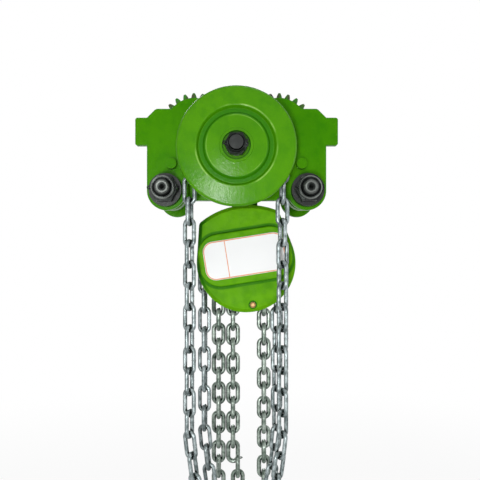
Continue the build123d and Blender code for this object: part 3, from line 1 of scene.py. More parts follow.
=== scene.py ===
"""Looks of a hand chain hoist that hangs under a geared trolley."""

from math import cos, pi, radians, sin, tau

import bpy
import numpy as np
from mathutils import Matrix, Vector


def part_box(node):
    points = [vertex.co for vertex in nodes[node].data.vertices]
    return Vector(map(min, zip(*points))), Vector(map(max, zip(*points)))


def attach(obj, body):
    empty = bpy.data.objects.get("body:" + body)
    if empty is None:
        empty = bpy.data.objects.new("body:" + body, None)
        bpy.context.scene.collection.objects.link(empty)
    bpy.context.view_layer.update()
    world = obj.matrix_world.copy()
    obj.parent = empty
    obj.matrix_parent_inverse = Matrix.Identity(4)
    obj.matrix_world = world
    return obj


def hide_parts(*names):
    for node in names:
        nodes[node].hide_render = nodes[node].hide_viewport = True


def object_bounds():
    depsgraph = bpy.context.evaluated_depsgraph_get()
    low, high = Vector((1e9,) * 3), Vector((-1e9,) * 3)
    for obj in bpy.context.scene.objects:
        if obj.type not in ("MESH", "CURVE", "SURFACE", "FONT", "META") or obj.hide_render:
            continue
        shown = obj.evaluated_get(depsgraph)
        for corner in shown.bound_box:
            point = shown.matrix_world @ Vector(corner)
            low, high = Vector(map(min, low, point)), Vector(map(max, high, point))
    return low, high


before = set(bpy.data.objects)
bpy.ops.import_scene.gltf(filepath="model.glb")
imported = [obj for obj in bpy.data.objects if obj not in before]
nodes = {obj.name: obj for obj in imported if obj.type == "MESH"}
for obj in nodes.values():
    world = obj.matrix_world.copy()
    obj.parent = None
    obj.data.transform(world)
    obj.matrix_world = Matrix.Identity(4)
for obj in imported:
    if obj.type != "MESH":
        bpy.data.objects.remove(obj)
cad_low, cad_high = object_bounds()


# Side plates: two iron castings that face each other and carry everything else. They are fettled,
# primed and sprayed with a thick gloss green enamel that lies a little unevenly, like the skin of
# an orange. Painted shade darkens the corners in patches, and the edges are painted paler, partly
# as rubbed wear and partly as a painted highlight.
class Wire:
    """One output socket. Arithmetic on it adds the Math nodes that work it out."""

    def __init__(self, mix, socket):
        self.mix = mix
        self.socket = socket

    def math(self, operation, first, second=0.0):
        return self.mix.add("ShaderNodeMath", {"operation": operation}, {0: first, 1: second})

    def __add__(self, other):
        return self.math("ADD", self, other)

    def __sub__(self, other):
        return self.math("SUBTRACT", self, other)

    def __rsub__(self, other):
        return self.math("SUBTRACT", other, self)

    def __mul__(self, other):
        return self.math("MULTIPLY", self, other)

    def __pow__(self, other):
        return self.math("POWER", self, other)

    def __abs__(self):
        return self.math("ABSOLUTE", self)

    __radd__ = __add__
    __rmul__ = __mul__

    def above(self, floor):
        """The greater of two values."""
        return self.math("MAXIMUM", self, floor)

    def fade(self, start, end):
        """Smooth step from 0 at start to 1 at end."""
        settings = {"interpolation_type": "SMOOTHSTEP"}
        sockets = {"Value": self, "From Min": start, "From Max": end}
        return self.mix.add("ShaderNodeMapRange", settings, sockets)

    def inside(self, low, high, soft):
        """1 between two values and 0 outside them, with soft ends."""
        return self.fade(low - soft, low + soft) * (1 - self.fade(high - soft, high + soft))


def diagonal(across, up):
    """Distance from the place where both wires are 0."""
    return (across ** 2 + up ** 2) ** 0.5


class NodeMix:
    """A node tree as it is put together."""

    def __init__(self, tree):
        self.tree = tree

    def add(self, kind, settings=None, sockets=None, out=0):
        """Adds a node, sets it up, fills or links its sockets and returns one of its outputs."""
        node = self.tree.nodes.new(kind)
        for name, value in (settings or {}).items():
            setattr(node, name, value)
        self.fill(node, sockets or {})
        return Wire(self, node.outputs[out])

    def fill(self, node, sockets):
        """Sets sockets of a node, or links those that are given a wire."""
        for name, value in sockets.items():
            if isinstance(value, Wire):
                self.tree.links.new(value.socket, node.inputs[name])
            else:
                node.inputs[name].default_value = value


class Finish(NodeMix):
    """A material as it is mixed, with its one surface shader."""

    def __init__(self, name, surface):
        self.material = bpy.data.materials.new(name)
        self.material.use_nodes = True
        super().__init__(self.material.node_tree)
        self.surface = self.tree.nodes["Principled BSDF"]
        self.place = self.add("ShaderNodeTexCoord", out="Object")
        self.cover(surface)

    def cover(self, sockets):
        """Sets or links sockets of the surface shader."""
        self.fill(self.surface, sockets)

    def noise(self, scale, detail, stretch=(1, 1, 1)):
        """Noise that runs from about 0 to 1, with this many features in a metre."""
        spread = self.add("ShaderNodeMapping", None, {"Vector": self.place, "Scale": stretch})
        sockets = {"Vector": spread, "Scale": scale, "Detail": detail}
        return self.add("ShaderNodeTexNoise", None, sockets)

    def axis(self, letter):
        """One coordinate of the surface, in metres."""
        return self.add("ShaderNodeSeparateXYZ", None, {0: self.place}, letter)

    def radius(self, x, z):
        """Distance from a spindle that lies front to back through this X and Z."""
        return diagonal(self.axis("X") - x, self.axis("Z") - z)

    def blend(self, share, first, second):
        """Mixes two colours by a share."""
        sockets = {0: share, 6: first, 7: second}
        return self.add("ShaderNodeMix", {"data_type": "RGBA"}, sockets, 2)

    def corner(self, reach):
        """1 deep in a corner or crevice and 0 on open surfaces, judged over a reach in metres."""
        settings = {"samples": 8}
        return 1 - self.add("ShaderNodeAmbientOcclusion", settings, {"Distance": reach}, "AO")

    def edge(self, reach):
        """1 along outer edges and 0 on open surfaces, judged over a reach in metres."""
        settings = {"samples": 8, "inside": True, "only_local": True}
        return 1 - self.add("ShaderNodeAmbientOcclusion", settings, {"Distance": reach}, "AO")

    def bump(self, height, distance, strength):
        """Raises the surface by a height field, over the given distance in metres."""
        sockets = {"Height": height, "Distance": distance, "Strength": strength}
        self.cover({"Normal": self.add("ShaderNodeBump", None, sockets)})


def dress(material, *names):
    """Gives CAD nodes a finish in place of the one they came with."""
    for name in names:
        mesh = nodes[name].data
        mesh.materials.clear()
        mesh.materials.append(material)


fresh_green = (0.056, 0.246, 0.0010, 1)
deep_green = (0.022, 0.165, 0.001, 1)
rubbed_and_highlight_green = (0.24, 0.48, 0.08, 1)
corner_shade_green = (0.004, 0.030, 0.003, 1)
pale_edge_reach, corner_shade_reach = 0.003, 0.010
peel_depth = 0.0004


def green_enamel(name, painted_shade=None, fresh=fresh_green, dull=0.20, gloss=0.04, painted_highlight=None):
    """Green enamel, with painted shade in corners and by one mask and painted highlight by the other.
    """
    paint = Finish(name, {"Specular IOR Level": gloss})
    clouds = paint.noise(14, 3).fade(0.35, 0.75)
    mottle = paint.noise(75, 3).fade(0.42, 0.72)
    tone = 0.40 * clouds + 0.30 * mottle
    # Painted shade: the given mask deepens the enamel there.
    if painted_shade is not None:
        tone = tone.above(painted_shade(paint))
    coat = paint.blend(tone, fresh, deep_green)
    # Edges painted paler: partly rubbed wear, partly a painted highlight along them.
    pale_share = paint.edge(pale_edge_reach).fade(0.50, 0.80) * paint.noise(90, 3).fade(0.38, 0.60)
    # Painted highlight: the given mask adds paler patches there.
    if painted_highlight is not None:
        pale_share = pale_share.above(painted_highlight(paint))
    coat = paint.blend(0.8 * pale_share, coat, rubbed_and_highlight_green)
    # Painted shade: near-black in corners and crevices, found by occlusion, in patches.
    corner_shade = paint.corner(corner_shade_reach).fade(0.24, 0.80) * (0.60 + 0.45 * paint.noise(120, 3))
    paint.cover({"Base Color": paint.blend(corner_shade, coat, corner_shade_green)})
    paint.cover({"Roughness": dull + 0.12 * paint.noise(60, 2)})
    peel = paint.noise(260, 2) + 0.35 * paint.noise(900, 1)
    paint.bump(peel, peel_depth, 0.42)
    return paint.material


dress(green_enamel("plate_enamel"), "front_side_plate", "rear_side_plate")

# Trolley wheels: turned iron castings, two with a ring of teeth behind the front plate and two
# with a plain flange at the rear. The bodies are sprayed green with the plates, and the treads
# are rolled bright in use.
tread_width, paint_end = 0.020, 0.001
dull_iron = (0.20, 0.20, 0.19, 1)
bright_iron = (0.34, 0.34, 0.33, 1)
greasy_green = (0.040, 0.050, 0.012, 1)


def wheel_finish(name, tread_inner):
    """Enamel on the body of a wheel and bare rolled iron on its tread."""
    iron = Finish(name, {"Specular IOR Level": 0.3})
    tread_outer = tread_inner + tread_width
    bare = 1 - abs(iron.axis("Y")).fade(tread_outer, tread_outer + paint_end)
    worn = iron.noise(180, 3)
    tread = iron.blend(worn, dull_iron, bright_iron)
    body = iron.blend(worn.fade(0.40, 0.65), deep_green, greasy_green)
    iron.cover({"Base Color": iron.blend(bare, body, tread), "Metallic": bare})
    iron.cover({"Roughness": 0.26 + 0.16 * worn})
    iron.bump(iron.noise(320, 2), 0.0003, 0.25)
    return iron.material


front_tread = -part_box("geared_wheel_left")[1].y
rear_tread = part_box("plain_wheel_left")[0].y
dress(wheel_finish("geared_wheel_iron", front_tread), "geared_wheel_left", "geared_wheel_right")
dress(wheel_finish("plain_wheel_iron", rear_tread), "plain_wheel_left", "plain_wheel_right")


# Wheel bearings, axles, rings and nuts: ground bearing steel on turned axles that are shouldered
# into the plates and drawn up by nuts on the outside. The axles and nuts are blackened in oil.
def machined_steel(name, tint, roughness):
    """Bare steel with the fine marks of the tool and of handling."""
    steel = Finish(name, {"Metallic": 1.0})
    marks = steel.noise(140, 3, (1, 6, 1))
    darker = tuple(0.6 * part for part in tint[:3]) + (1,)
    steel.cover({"Base Color": steel.blend(marks, darker, tint)})
    steel.cover({"Roughness": roughness + 0.16 * marks})
    steel.bump(steel.noise(700, 2), 0.0001, 0.2)
    return steel.material


bright_steel = machined_steel("bright_steel", (0.40, 0.41, 0.41, 1), 0.22)
dress(bright_steel, "wheel_bearings", "axle_rings")
black_skin = (0.010, 0.012, 0.011, 1)
rubbed_skin = (0.060, 0.068, 0.064, 1)
bare_skin = (0.26, 0.28, 0.26, 1)


def black_oxide(name, worn=None, metal=0.85, rub=1.0):
    """Oil-blackened steel, paler in rubbed patches, bare where the worn mask is 1, partly as
    highlight.
    """
    black = Finish(name, {"Metallic": metal, "Specular IOR Level": 0.3})
    pale_share = black.noise(90, 4).fade(0.48, 0.78) * rub
    skin = black.blend(pale_share, black_skin, rubbed_skin)
    if worn is not None:
        skin = black.blend(worn(black) * (0.6 + 0.4 * pale_share), skin, bare_skin)
    black.cover({"Base Color": skin})
    black.cover({"Roughness": 0.30 + 0.20 * black.noise(200, 2)})
    black.bump(black.noise(500, 2), 0.0002, 0.2)
    return black.material


blackened = black_oxide("blackened_steel")
dress(blackened, "wheel_axles", "axle_nuts")

# Pinion shaft and bush: the hand wheel's shaft, of oiled black steel, runs in a sintered bronze
# bush pressed into the front plate, and its cut pinion drives both geared wheels at once.
dark_bronze = (0.20, 0.12, 0.05, 1)
pale_bronze = (0.42, 0.27, 0.11, 1)
bronze = Finish("bush_bronze", {"Metallic": 1.0})
pores = bronze.noise(900, 3)
bronze.cover({"Base Color": bronze.blend(pores, dark_bronze, pale_bronze)})
bronze.cover({"Roughness": 0.30 + 0.2 * pores})
dress(bronze.material, "pinion_bush")
oiled_black = black_oxide("oiled_black_steel", metal=0.3, rub=0.25)
dress(oiled_black, "pinion_shaft")


# Trolley hand wheel: a cast pocket wheel behind a round pressed face with a ring groove and a
# raised hub ring, sprayed green, with painted shade in the groove and round the hub ring and a
# painted highlight on the groove's lips. It is fixed on the pinion shaft and held by a drilled nut.
def centre_of(node):
    """Middle of a CAD node's box."""
    low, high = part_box(node)
    return (low + high) / 2


wheel_axis_z = centre_of("trolley_hand_wheel").z
wheel_face_y, wheel_face_soft = -0.107, 0.001
groove_inner, groove_outer = 0.0365, 0.0465
hub_ring = 0.0165
wheel_green = (0.072, 0.268, 0.0010, 1)


def wheel_front(paint):
    """1 on the front of the wheel's face and 0 behind it."""
    back = paint.axis("Y").fade(wheel_face_y - wheel_face_soft, wheel_face_y + wheel_face_soft)
    return 1 - back


def wheel_painted_shade(paint):
    """Painted shade: darker on the groove's floor and wall and round the foot of the hub ring."""
    reach = paint.radius(0, wheel_axis_z)
    floor = reach.inside(groove_inner - 0.0008, groove_outer - 0.0030, 0.0012)
    slope = reach.inside(groove_outer - 0.0040, groove_outer, 0.0016)
    foot = reach.inside(hub_ring - 0.0016, hub_ring + 0.0004, 0.0006)
    return (0.85 * floor.above(0.6 * slope) + 0.6 * foot) * wheel_front(paint)


def wheel_lip_highlights(paint):
    """Painted highlight: paler green on the two lips of the groove, in patches."""
    reach = paint.radius(0, wheel_axis_z)
    outer_lip = reach.inside(groove_outer + 0.0001, groove_outer + 0.0018, 0.0004)
    inner_lip = reach.inside(groove_inner - 0.0020, groove_inner - 0.0012, 0.0004)
    patches = paint.noise(30, 2).fade(0.42, 0.62)
    return outer_lip.above(0.7 * inner_lip) * wheel_front(paint) * patches


wheel_enamel = green_enamel(
    "hand_wheel_enamel", wheel_painted_shade, wheel_green, dull=0.14, gloss=0.12, painted_highlight=wheel_lip_highlights
)
dress(wheel_enamel, "trolley_hand_wheel")
dress(blackened, "hand_wheel_washer", "hand_wheel_nut")

# Suspension: two long bolts through both plates with collar nuts and adjusting washers, all
# blackened, and painted spacer tubes between the plates. The rims of the nuts and the ends of the
# bolts are bare: spanner wear, and partly a painted highlight on their edges.
bolt_x = 0.087
bolt_z = centre_of("suspension_split_pins").z
collar_rim, bolt_rim, bolt_flat = 0.0140, 0.0100, 0.0062


def worn_highlight_rings(steel):
    """Bare rings on collar rims and bolt-end chamfers: wear, and partly a painted highlight."""
    reach = diagonal(abs(steel.axis("X")) - bolt_x, steel.axis("Z") - bolt_z)
    rim = reach.inside(collar_rim - 0.0014, collar_rim - 0.0001, 0.0003)
    end = reach.inside(bolt_flat - 0.0012, bolt_rim - 0.0016, 0.0004)
    return rim.above(0.55 * end)


dress(black_oxide("worn_bolt_steel", worn_highlight_rings), "suspension_bolts", "suspension_nuts")
dress(oiled_black, "adjusting_washers")
dress(green_enamel("spacer_enamel"), "spacer_tubes")


# Split pins: soft steel wire doubled back on itself and blackened, pushed through a nut's collar
# and its bolt, with the two tails opened so that the nut can't turn back.
class Shape(NodeMix):
    """A geometry tree with named inputs, which grows pieces from points."""

    def __init__(self, name, inputs):
        super().__init__(bpy.data.node_groups.new(name, "GeometryNodeTree"))
        self.offer("Start", "INPUT", "Geometry")
        for label, kind in inputs.items():
            self.offer(label, "INPUT", kind)
        self.offer("Piece", "OUTPUT", "Geometry")
        self.entry = self.tree.nodes.new("NodeGroupInput")

    def offer(self, label, way, kind):
        """Gives the tree a named input or output."""
        self.tree.interface.new_socket(label, in_out=way, socket_type="NodeSocket" + kind)

    def given(self, label):
        """What comes in at a named input."""
        return Wire(self, self.entry.outputs[label])

    def ring(self, sides, radius):
        """A round line with this many sides."""
        sockets = {"Resolution": sides, "Radius": radius}
        return self.add("GeometryNodeCurvePrimitiveCircle", None, sockets)

    def close(self, geometry):
        """Ends the tree: real geometry with its finish on it."""
        real = self.add("GeometryNodeRealizeInstances", None, {"Geometry": geometry})
        sockets = {"Geometry": real, "Material": self.given("Finish")}
        dressed = self.add("GeometryNodeSetMaterial", None, sockets)
        self.fill(self.tree.nodes.new("NodeGroupOutput"), {"Piece": dressed})

    def grow(self, name, values, points, lines=(), along=None):
        """A plain mesh grown from points, with lines between them or a direction at each."""
        mesh = bpy.data.meshes.new(name)
        mesh.from_pydata(points, lines, [])
        if along is not None:
            directions = mesh.attributes.new("along", "FLOAT_VECTOR", "POINT")
            directions.data.foreach_set("vector", np.ravel(along))
        piece = bpy.data.objects.new(name, mesh)
        bpy.context.scene.collection.objects.link(piece)
        growth = piece.modifiers.new("growth", "NODES")
        growth.node_group = self.tree
        for item in self.tree.interface.items_tree:
            if item.in_out == "INPUT" and item.name in values:
                growth[item.identifier] = values[item.name]
        grown = piece.evaluated_get(bpy.context.evaluated_depsgraph_get())
        piece.data = bpy.data.meshes.new_from_object(grown)
        piece.modifiers.clear()
        piece.data.polygons.foreach_set("use_smooth", [True] * len(piece.data.polygons))
        return piece


wire_shape = Shape("wire on a path", {"Wire Radius": "Float", "Finish": "Material"})
wire_ring = wire_shape.ring(10, wire_shape.given("Wire Radius"))
wire_path = wire_shape.add("GeometryNodeMeshToCurve", None, {"Mesh": wire_shape.given("Start")})
wire_sweep = {"Curve": wire_path, "Profile Curve": wire_ring, "Fill Caps": True}
wire_shape.close(wire_shape.add("GeometryNodeCurveToMesh", None, wire_sweep))
pin_wire, pin_half, pin_eye, pin_tail = 0.0008, 0.00085, 0.0016, 0.0035


def split_pin_path(x, y, z, reach):
    """Centre line of a split pin along X, from one open tail round the eye to the other."""
    tip = (reach - 0.0006, pin_half + pin_tail)
    bend = (reach - 0.0010, pin_half + 0.0012)
    straight = (reach - 0.0024, pin_half)
    neck = (0.0035 - reach, pin_half)
    upper = [tip, bend, straight, neck]
    eye_angles = np.linspace(radians(52), radians(308), 15)
    eye = [(pin_eye * cos(angle) - reach, pin_eye * sin(angle)) for angle in eye_angles]
    lower = [(across, -up) for across, up in reversed(upper)]
    return [(x + across, y, z + up) for across, up in upper + eye + lower]


def row_lines(count, first=0):
    """Lines that join points in a row."""
    return [(first + step, first + step + 1) for step in range(count - 1)]


def split_pins(name, places, reach, body, replaced):
    """Split pins through nuts at these places, in one piece of scene mesh."""
    points, lines = [], []
    for place in places:
        row = split_pin_path(*place, reach)
        lines += row_lines(len(row), len(points))
        points += row
    pins = wire_shape.grow(name, {"Wire Radius": pin_wire, "Finish": blackened}, points, lines)
    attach(pins, body)
    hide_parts(replaced)


bolt_pin_reach, nut_pin_reach = 0.0164, 0.0134
bolt_pin_y = centre_of("suspension_split_pins").y
bolt_places = [(-bolt_x, bolt_pin_y, bolt_z), (bolt_x, bolt_pin_y, bolt_z)]
split_pins("opened_split_pins", bolt_places, bolt_pin_reach, "trolley_frame", "suspension_split_pins")
nut_places = [(0, centre_of("hand_wheel_split_pin").y, wheel_axis_z)]
split_pins("hand_wheel_opened_pin", nut_places, nut_pin_reach, "trolley_drive", "hand_wheel_split_pin")

# Hanger bar and swing pin: a flame-cut bar between the two suspension bolts, painted with the
# plates, with an eye for the blackened headed pin that the hoist hangs and swings on.
dress(green_enamel("hanger_enamel"), "hanger_bar")
dress(blackened, "swing_pin")

# Hoist frame: two pressed plates held apart by shouldered stays, with the chain stripper between
# them and the pins that hold the ends of the load chain. The plates are painted green.
dress(green_enamel("frame_enamel"), "front_frame_plate", "rear_frame_plate")
dress(blackened, "stay_nuts", "chain_stripper")
dress(bright_steel, "chain_pins")

# Load sheave and reduction gears: a cast steel pocket sheave on ball bearings, driven through two
# idlers of hardened steel behind the rear plate. Grease darkens their teeth.
greased = machined_steel("greased_gear_steel", (0.26, 0.25, 0.22, 1), 0.18)
dress(greased, "load_sheave", "load_gear", "second_gear_left", "second_gear_right")
dress(bright_steel, "sheave_bearings")
dress(bronze.material, "gear_bushes")

# Gear cover: a pressed steel shell over the gears at the back, painted green and held by four
# blackened screws through its flange.
dress(green_enamel("gear_cover_enamel"), "gear_cover")
dress(blackened, "gear_cover_screws")

# Load brake: hub, ratchet and two lining discs on the threaded drive shaft, with two sprung pawls
# that hold the ratchet while the load hangs. All but the fibre linings are machined steel.
dress(bright_steel, "drive_shaft", "drive_nut", "brake_hub", "ratchet_disc")
dress(bright_steel, "upper_pawl", "lower_pawl", "pawl_pins", "pawl_springs")
dark_fibre = (0.045, 0.026, 0.014, 1)
pale_fibre = (0.15, 0.09, 0.05, 1)
lining = Finish("friction_lining", {"Specular IOR Level": 0.2})
fibre = lining.noise(1400, 2)
lining.cover({"Base Color": lining.blend(fibre, dark_fibre, pale_fibre)})
lining.cover({"Roughness": 0.75 + 0.2 * fibre})
dress(lining.material, "friction_discs")

# Hoist hand wheel and its cover: a pocket wheel on the brake thread under a deep-drawn cover with
# a raised band across its face. Both are green. Shade is painted into the cover: darker at the foot
# of the band, round the nut's seat and on the slanted left edge beside the chains.
dress(green_enamel("pocket_wheel_enamel"), "hoist_hand_wheel")
hoist_tilt = radians(9)
cover_face_y = -0.058
side_shade_left, side_shade_right = -0.042, -0.028
band_half_x, band_half_z, band_corner = 0.059, 0.03325, 0.027
band_shift_x, band_shift_z = 0.00065, -0.00025
label_centre = centre_of("label_plate")
band_x = label_centre.x + band_shift_x * cos(hoist_tilt) - band_shift_z * sin(hoist_tilt)
band_z = label_centre.z + band_shift_x * sin(hoist_tilt) + band_shift_z * cos(hoist_tilt)
nut_centre = centre_of("cover_nut")
nut_seat_radius, nut_seat_soft = 0.0050, 0.0010
cover_green = (0.115, 0.360, 0.0015, 1)


def in_tilted_frame(paint, x, z):
    """Distances across and up from a point of the tilted hoist."""
    turned = {"Vector": paint.place, "Location": (x, 0, z), "Rotation": (0, -hoist_tilt, 0)}
    flat = paint.add("ShaderNodeMapping", {"vector_type": "TEXTURE"}, turned)
    return [paint.add("ShaderNodeSeparateXYZ", None, {0: flat}, letter) for letter in "XZ"]


def inset_of(across, up, half_x, half_z, corner):
    """Distance inside the edge of a rounded rectangle, less than 0 outside it."""
    past_x = (abs(across) - (half_x - corner)).above(0)
    past_z = (abs(up) - (half_z - corner)).above(0)
    return corner - diagonal(past_x, past_z)


def cover_painted_shade(paint):
    """Painted shade on the cover: the band's foot, the nut's seat and the slanted edge by the chains.
    """
    depth = paint.axis("Y")
    front = 1 - depth.fade(cover_face_y + 0.002, cover_face_y + 0.005)
    across, up = in_tilted_frame(paint, band_x, band_z)
    inset = inset_of(across, up, band_half_x, band_half_z, band_corner)
    # Painted shade at the band's foot, round the nut's seat and on the slanted left edge.
    foot = 0.9 * inset.inside(-0.0034, 0.0014, 0.0010) * front
    from_nut = paint.radius(nut_centre.x, nut_centre.z)
    nut_seat_shade = 1 - from_nut.fade(nut_seat_radius, nut_seat_radius + nut_seat_soft)
    facing = paint.add("ShaderNodeTexCoord", out="Normal")
    slant = 1 - abs(paint.add("ShaderNodeSeparateXYZ", None, {0: facing}, "Y")).fade(0.70, 0.96)
    rim = 1 - depth.fade(cover_face_y + 0.005, cover_face_y + 0.008)
    side_shade = slant * rim * (1 - paint.axis("X").fade(side_shade_left, side_shade_right))
    return foot.above(nut_seat_shade).above(side_shade)


dress(green_enamel("cover_enamel", cover_painted_shade, cover_green, dull=0.42), "hand_wheel_cover")

# Label, cover nut and stays: a bare white plate with a thin orange border and one dividing line,
# stuck on the band, and the small bronze nut that holds the cover on the plated end of the lowest
# stay. The stays are blackened behind that end.
label_half_x, label_half_z, label_corner = 0.0505, 0.024, 0.013
border_outer, border_inner, print_soft = 0.0004, 0.0016, 0.0001
divider_left, divider_right = -0.0226, -0.0216
label_white = (0.83, 0.84, 0.84, 1)
label_orange = (0.72, 0.26, 0.10, 1)
label = Finish("label_print", {"Specular IOR Level": 0.10, "Roughness": 0.45})
label_across, label_up = in_tilted_frame(label, label_centre.x, label_centre.z)
label_inset = inset_of(label_across, label_up, label_half_x, label_half_z, label_corner)
border = label_inset.inside(border_outer, border_inner, print_soft)
divider = label_across.inside(divider_left, divider_right, print_soft)
printed = border.above(divider * label_inset.fade(border_outer, border_outer + 0.0002))
label.cover({"Base Color": label.blend(printed, label_white, label_orange)})
dress(label.material, "label_plate")
dress(machined_steel("cover_bronze", (0.12, 0.075, 0.030, 1), 0.40), "cover_nut")
plated_y, plated_soft = -0.0495, 0.0005
stay_black = (0.030, 0.032, 0.030, 1)
stay_plating = (0.30, 0.19, 0.09, 1)
stay_steel = Finish("stay_steel", {"Metallic": 1.0, "Roughness": 0.5})
plated = 1 - stay_steel.axis("Y").fade(plated_y - plated_soft, plated_y + plated_soft)
stay_steel.cover({"Base Color": stay_steel.blend(plated, stay_black, stay_plating)})
stay_steel.bump(stay_steel.noise(700, 2), 0.0001, 0.2)
dress(stay_steel.material, "stay_bolts")

# Chains: welded round-steel links that hang by turns flat and on edge. The hand chains are
# galvanised, the load chain is hardened and left bare, and each link carries a small weld bead.
oil_and_shade_black = (0.006, 0.014, 0.010, 1)
oil_and_shade_reach = 0.006


def chain_steel(name, pale, dark):
    """Dull chain steel, hot-dipped or bare, mottled, with oil and painted shade black where links
    nest.
    """
    coat = Finish(name, {"Metallic": 0.45, "Specular IOR Level": 0.4})
    spangle = coat.noise(160, 3)
    skin = coat.blend(spangle.fade(0.3, 0.7), dark, pale)
    # Painted shade with oil: near-black where links nest, found by occlusion.
    oil_and_shade = coat.corner(oil_and_shade_reach).fade(0.10, 0.44)
    coat.cover({"Base Color": coat.blend(oil_and_shade, skin, oil_and_shade_black)})
    coat.cover({"Roughness": 0.20 + 0.20 * coat.noise(300, 2)})
    coat.bump(coat.noise(420, 2), 0.0002, 0.25)
    return coat.material


bead_inputs = {"Ring Radius": "Float", "Bead Radius": "Float", "Finish": "Material"}
bead_shape = Shape("weld bead on each link", bead_inputs)
bead_ring = bead_shape.ring(12, bead_shape.given("Ring Radius"))
bead_section = bead_shape.ring(6, bead_shape.given("Bead Radius"))
bead_sweep = {"Curve": bead_ring, "Profile Curve": bead_section}
bead = bead_shape.add("GeometryNodeCurveToMesh", None, bead_sweep)
vector_kind = {"data_type": "FLOAT_VECTOR"}
bead_way = bead_shape.add("GeometryNodeInputNamedAttribute", vector_kind, {"Name": "along"})
bead_turn = bead_shape.add("FunctionNodeAlignRotationToVector", {"axis": "Z"}, {"Vector": bead_way})
bead_places = {"Points": bead_shape.given("Start"), "Instance": bead, "Rotation": bead_turn}
bead_shape.close(bead_shape.add("GeometryNodeInstanceOnPoints", None, bead_places))
bead_radius, bead_sunk = 0.0007, 0.00035


def links_of(node):
    """Centre, lengthwise and crosswise directions of every link of a chain, from its solids."""
    mesh = nodes[node].data
    spots = np.empty(len(mesh.vertices) * 3, np.float32)
    mesh.vertices.foreach_get("co", spots)
    corners = np.empty(len(mesh.polygons) * 3, np.int32)
    mesh.polygons.foreach_get("vertices", corners)
    places, same = np.unique(np.round(spots.reshape(-1, 3), 6), axis=0, return_inverse=True)
    triangles = same.reshape(-1)[corners].reshape(-1, 3)
    # Triangles that share a corner are one link, so each link ends with one number of its own
    group = np.arange(len(places))
    while True:
        least = group[triangles].min(axis=1)
        joined = group.copy()
        for corner in triangles.T:
            np.minimum.at(joined, corner, least)
        joined = joined[joined]
        if (joined == group).all():
            break
        group = joined
    found = []
    for link in np.unique(group):
        shell = places[group == link]
        _, directions = np.linalg.eigh(np.cov((shell - shell.mean(axis=0)).T))
        found.append((shell.mean(axis=0), directions[:, 2], directions[:, 1]))
    return found


def weld_beads(name, node, body, wire, width, material, slot):
    """A bead on one straight side of every link of a chain."""
    links = links_of(node)
    spots = [tuple(centre + side * (width - wire) / 2) for centre, _, side in links]
    ways = [lengthwise for _, lengthwise, _ in links]
    values = {"Ring Radius": wire / 2 - bead_sunk, "Bead Radius": bead_radius, "Finish": material}
    piece = bead_shape.grow(name, values, spots, along=ways)
    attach(piece, body)


hand_wire, hand_width = 0.005, 0.017
hand_zinc = chain_steel("hand_chain_zinc", (0.33, 0.38, 0.385, 1), (0.085, 0.11, 0.11, 1))
dress(hand_zinc, "trolley_hand_chain", "hoist_hand_chain")
hand_link = (hand_wire, hand_width, hand_zinc, "hand_chain_zinc")
weld_beads("trolley_chain_beads", "trolley_hand_chain", "trolley_frame", *hand_link)
weld_beads("hoist_chain_beads", "hoist_hand_chain", "hoist_frame", *hand_link)
load_wire, load_width = 0.006, 0.019
load_steel = chain_steel("load_chain_steel", (0.33, 0.385, 0.34, 1), (0.08, 0.115, 0.09, 1))
dress(load_steel, "load_chain")
load_link = (load_wire, load_width, load_steel, "load_chain_steel")
weld_beads("load_chain_beads", "load_chain", "hoist_frame", *load_link)

# Bottom block: two cast halves that clamp round the hook's collar and the last link's pin, painted
# green and screwed together from the front.
dress(green_enamel("block_enamel"), "block_front_half", "block_rear_half")
dress(blackened, "block_bolts")

# Hook: a drop-forged steel hook with a sprung pressed latch across its mouth. The latch turns on
# a headed pin, and a torsion coil on the pin holds it shut.
dress(black_oxide("forged_hook_steel"), "load_hook")
dress(hand_zinc, "hook_latch")
dress(bright_steel, "latch_pin")
spring_wire, spring_turns, turn_steps = 0.00042, 4, 20
spring_low, spring_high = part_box("latch_spring")
spring_centre = centre_of("latch_spring")
spring_reach = (spring_high.x - spring_low.x) / 2 - spring_wire
spring_run = spring_high.y - spring_low.y - 2 * spring_wire
coil = []
for share in np.linspace(0, 1, spring_turns * turn_steps + 1):
    angle = tau * spring_turns * share
    coil_x = spring_centre.x + spring_reach * cos(angle)
    coil_y = spring_low.y + spring_wire + share * spring_run
    coil_z = spring_centre.z + spring_reach * sin(angle)
    coil.append((coil_x, coil_y, coil_z))
coil_values = {"Wire Radius": spring_wire, "Finish": bright_steel}
latch_coil = wire_shape.grow("latch_coil", coil_values, coil, row_lines(len(coil)))
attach(latch_coil, "hook")
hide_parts("latch_spring")

# Studio: a wide pale floor below the hook and a white surround, both white to the eye and in
# bright metal but dim as lights, and six soft lamps round the object.
floor_drop, floor_half = 0.06, 6.0
floor_z = cad_low.z - floor_drop
floor_signs = ((-1, -1), (1, -1), (1, 1), (-1, 1))
floor_corners = [(x * floor_half, y * floor_half, floor_z) for x, y in floor_signs]
floor_mesh = bpy.data.meshes.new("floor")
floor_mesh.from_pydata(floor_corners, [], [(0, 1, 2, 3)])
floor = bpy.data.objects.new("floor", floor_mesh)
bpy.context.scene.collection.objects.link(floor)


def seen_directly(mix):
    """1 for what is looked at, also in metal and through glass, and 0 for what only gives light."""
    sight = mix.add("ShaderNodeLightPath", out="Is Camera Ray")
    shine = mix.add("ShaderNodeLightPath", out="Is Glossy Ray")
    through = mix.add("ShaderNodeLightPath", out="Is Transmission Ray")
    return sight.above(shine).above(through)


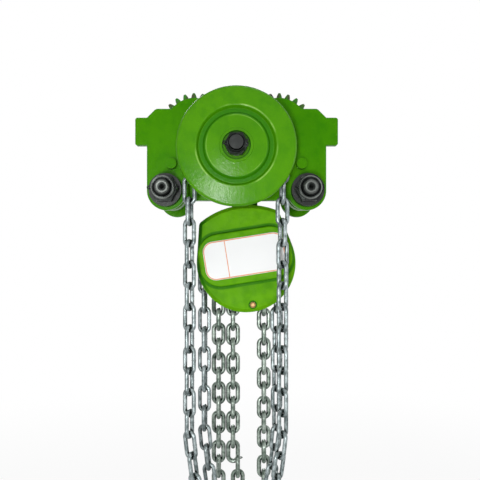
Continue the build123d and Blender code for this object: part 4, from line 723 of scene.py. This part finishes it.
floor_grey = {"Base Color": (0.70, 0.70, 0.70, 1), "Roughness": 0.9, "Specular IOR Level": 0.0}
pale = Finish("pale_floor", floor_grey)
glow = pale.add("ShaderNodeEmission", None, {"Color": (1, 1, 1, 1), "Strength": 1.0})
matt = Wire(pale, pale.surface.outputs[0])
white = 0.90 + 0.10 * diagonal(pale.axis("X"), pale.axis("Y")).fade(0.6, 1.6)
mixed = pale.add("ShaderNodeMixShader", None, {0: seen_directly(pale) * white, 1: matt, 2: glow})
pale.fill(pale.tree.nodes["Material Output"], {"Surface": mixed})
floor_mesh.materials.append(pale.material)

world = bpy.data.worlds.new("studio")
world.use_nodes = True
bpy.context.scene.world = world
sky_light = 0.14
sky = NodeMix(world.node_tree)
sky_strength = sky_light + (1 - sky_light) * seen_directly(sky)
sky.fill(sky.tree.nodes["Background"], {"Color": (1, 1, 1, 1), "Strength": sky_strength})


def lamp(name, place, aim, power, size):
    """A square soft lamp that looks at a point."""
    light = bpy.data.lights.new(name, "AREA")
    light.energy = power
    light.size = size
    stand = bpy.data.objects.new(name, light)
    bpy.context.scene.collection.objects.link(stand)
    stand.location = place
    stand.rotation_euler = (Vector(aim) - Vector(place)).to_track_quat("-Z", "Y").to_euler()


lamp("key_lamp", (-0.155, -1.40, -0.43), (0, 0, -0.12), 8.0, 0.15)
lamp("glint_lamp", (-0.16, -1.40, -0.10), (0, 0, -0.12), 6.0, 0.16)
lamp("low_left_lamp", (-0.55, -1.15, -0.60), (0, 0, -0.15), 1.0, 0.25)
lamp("top_lamp", (0.15, -0.75, 1.10), (0, 0, -0.10), 4.0, 0.5)
lamp("right_lamp", (1.40, -0.40, 0.10), (0, 0, -0.20), 4.0, 0.8)
lamp("back_lamp", (-0.30, 1.40, 0.50), (0, 0, -0.20), 16.0, 1.0)

# Camera: straight in front of the hoist and level with its middle, less than a metre away, so
# that the front pieces look larger. A small shift puts the object where it is in the picture.
picture_width = 480
view = bpy.data.cameras.new("front_camera")
view.sensor_width = 36.0
view.lens = 41.4
view.shift_x = 1 / picture_width
view.shift_y = 17 / picture_width
eye = bpy.data.objects.new("front_camera", view)
bpy.context.scene.collection.objects.link(eye)
eye.location = (0.003, -0.746, -0.1295)
eye.rotation_euler = (pi / 2, 0, 0)
bpy.context.scene.camera = eye
bpy.context.scene.view_settings.view_transform = "Standard"
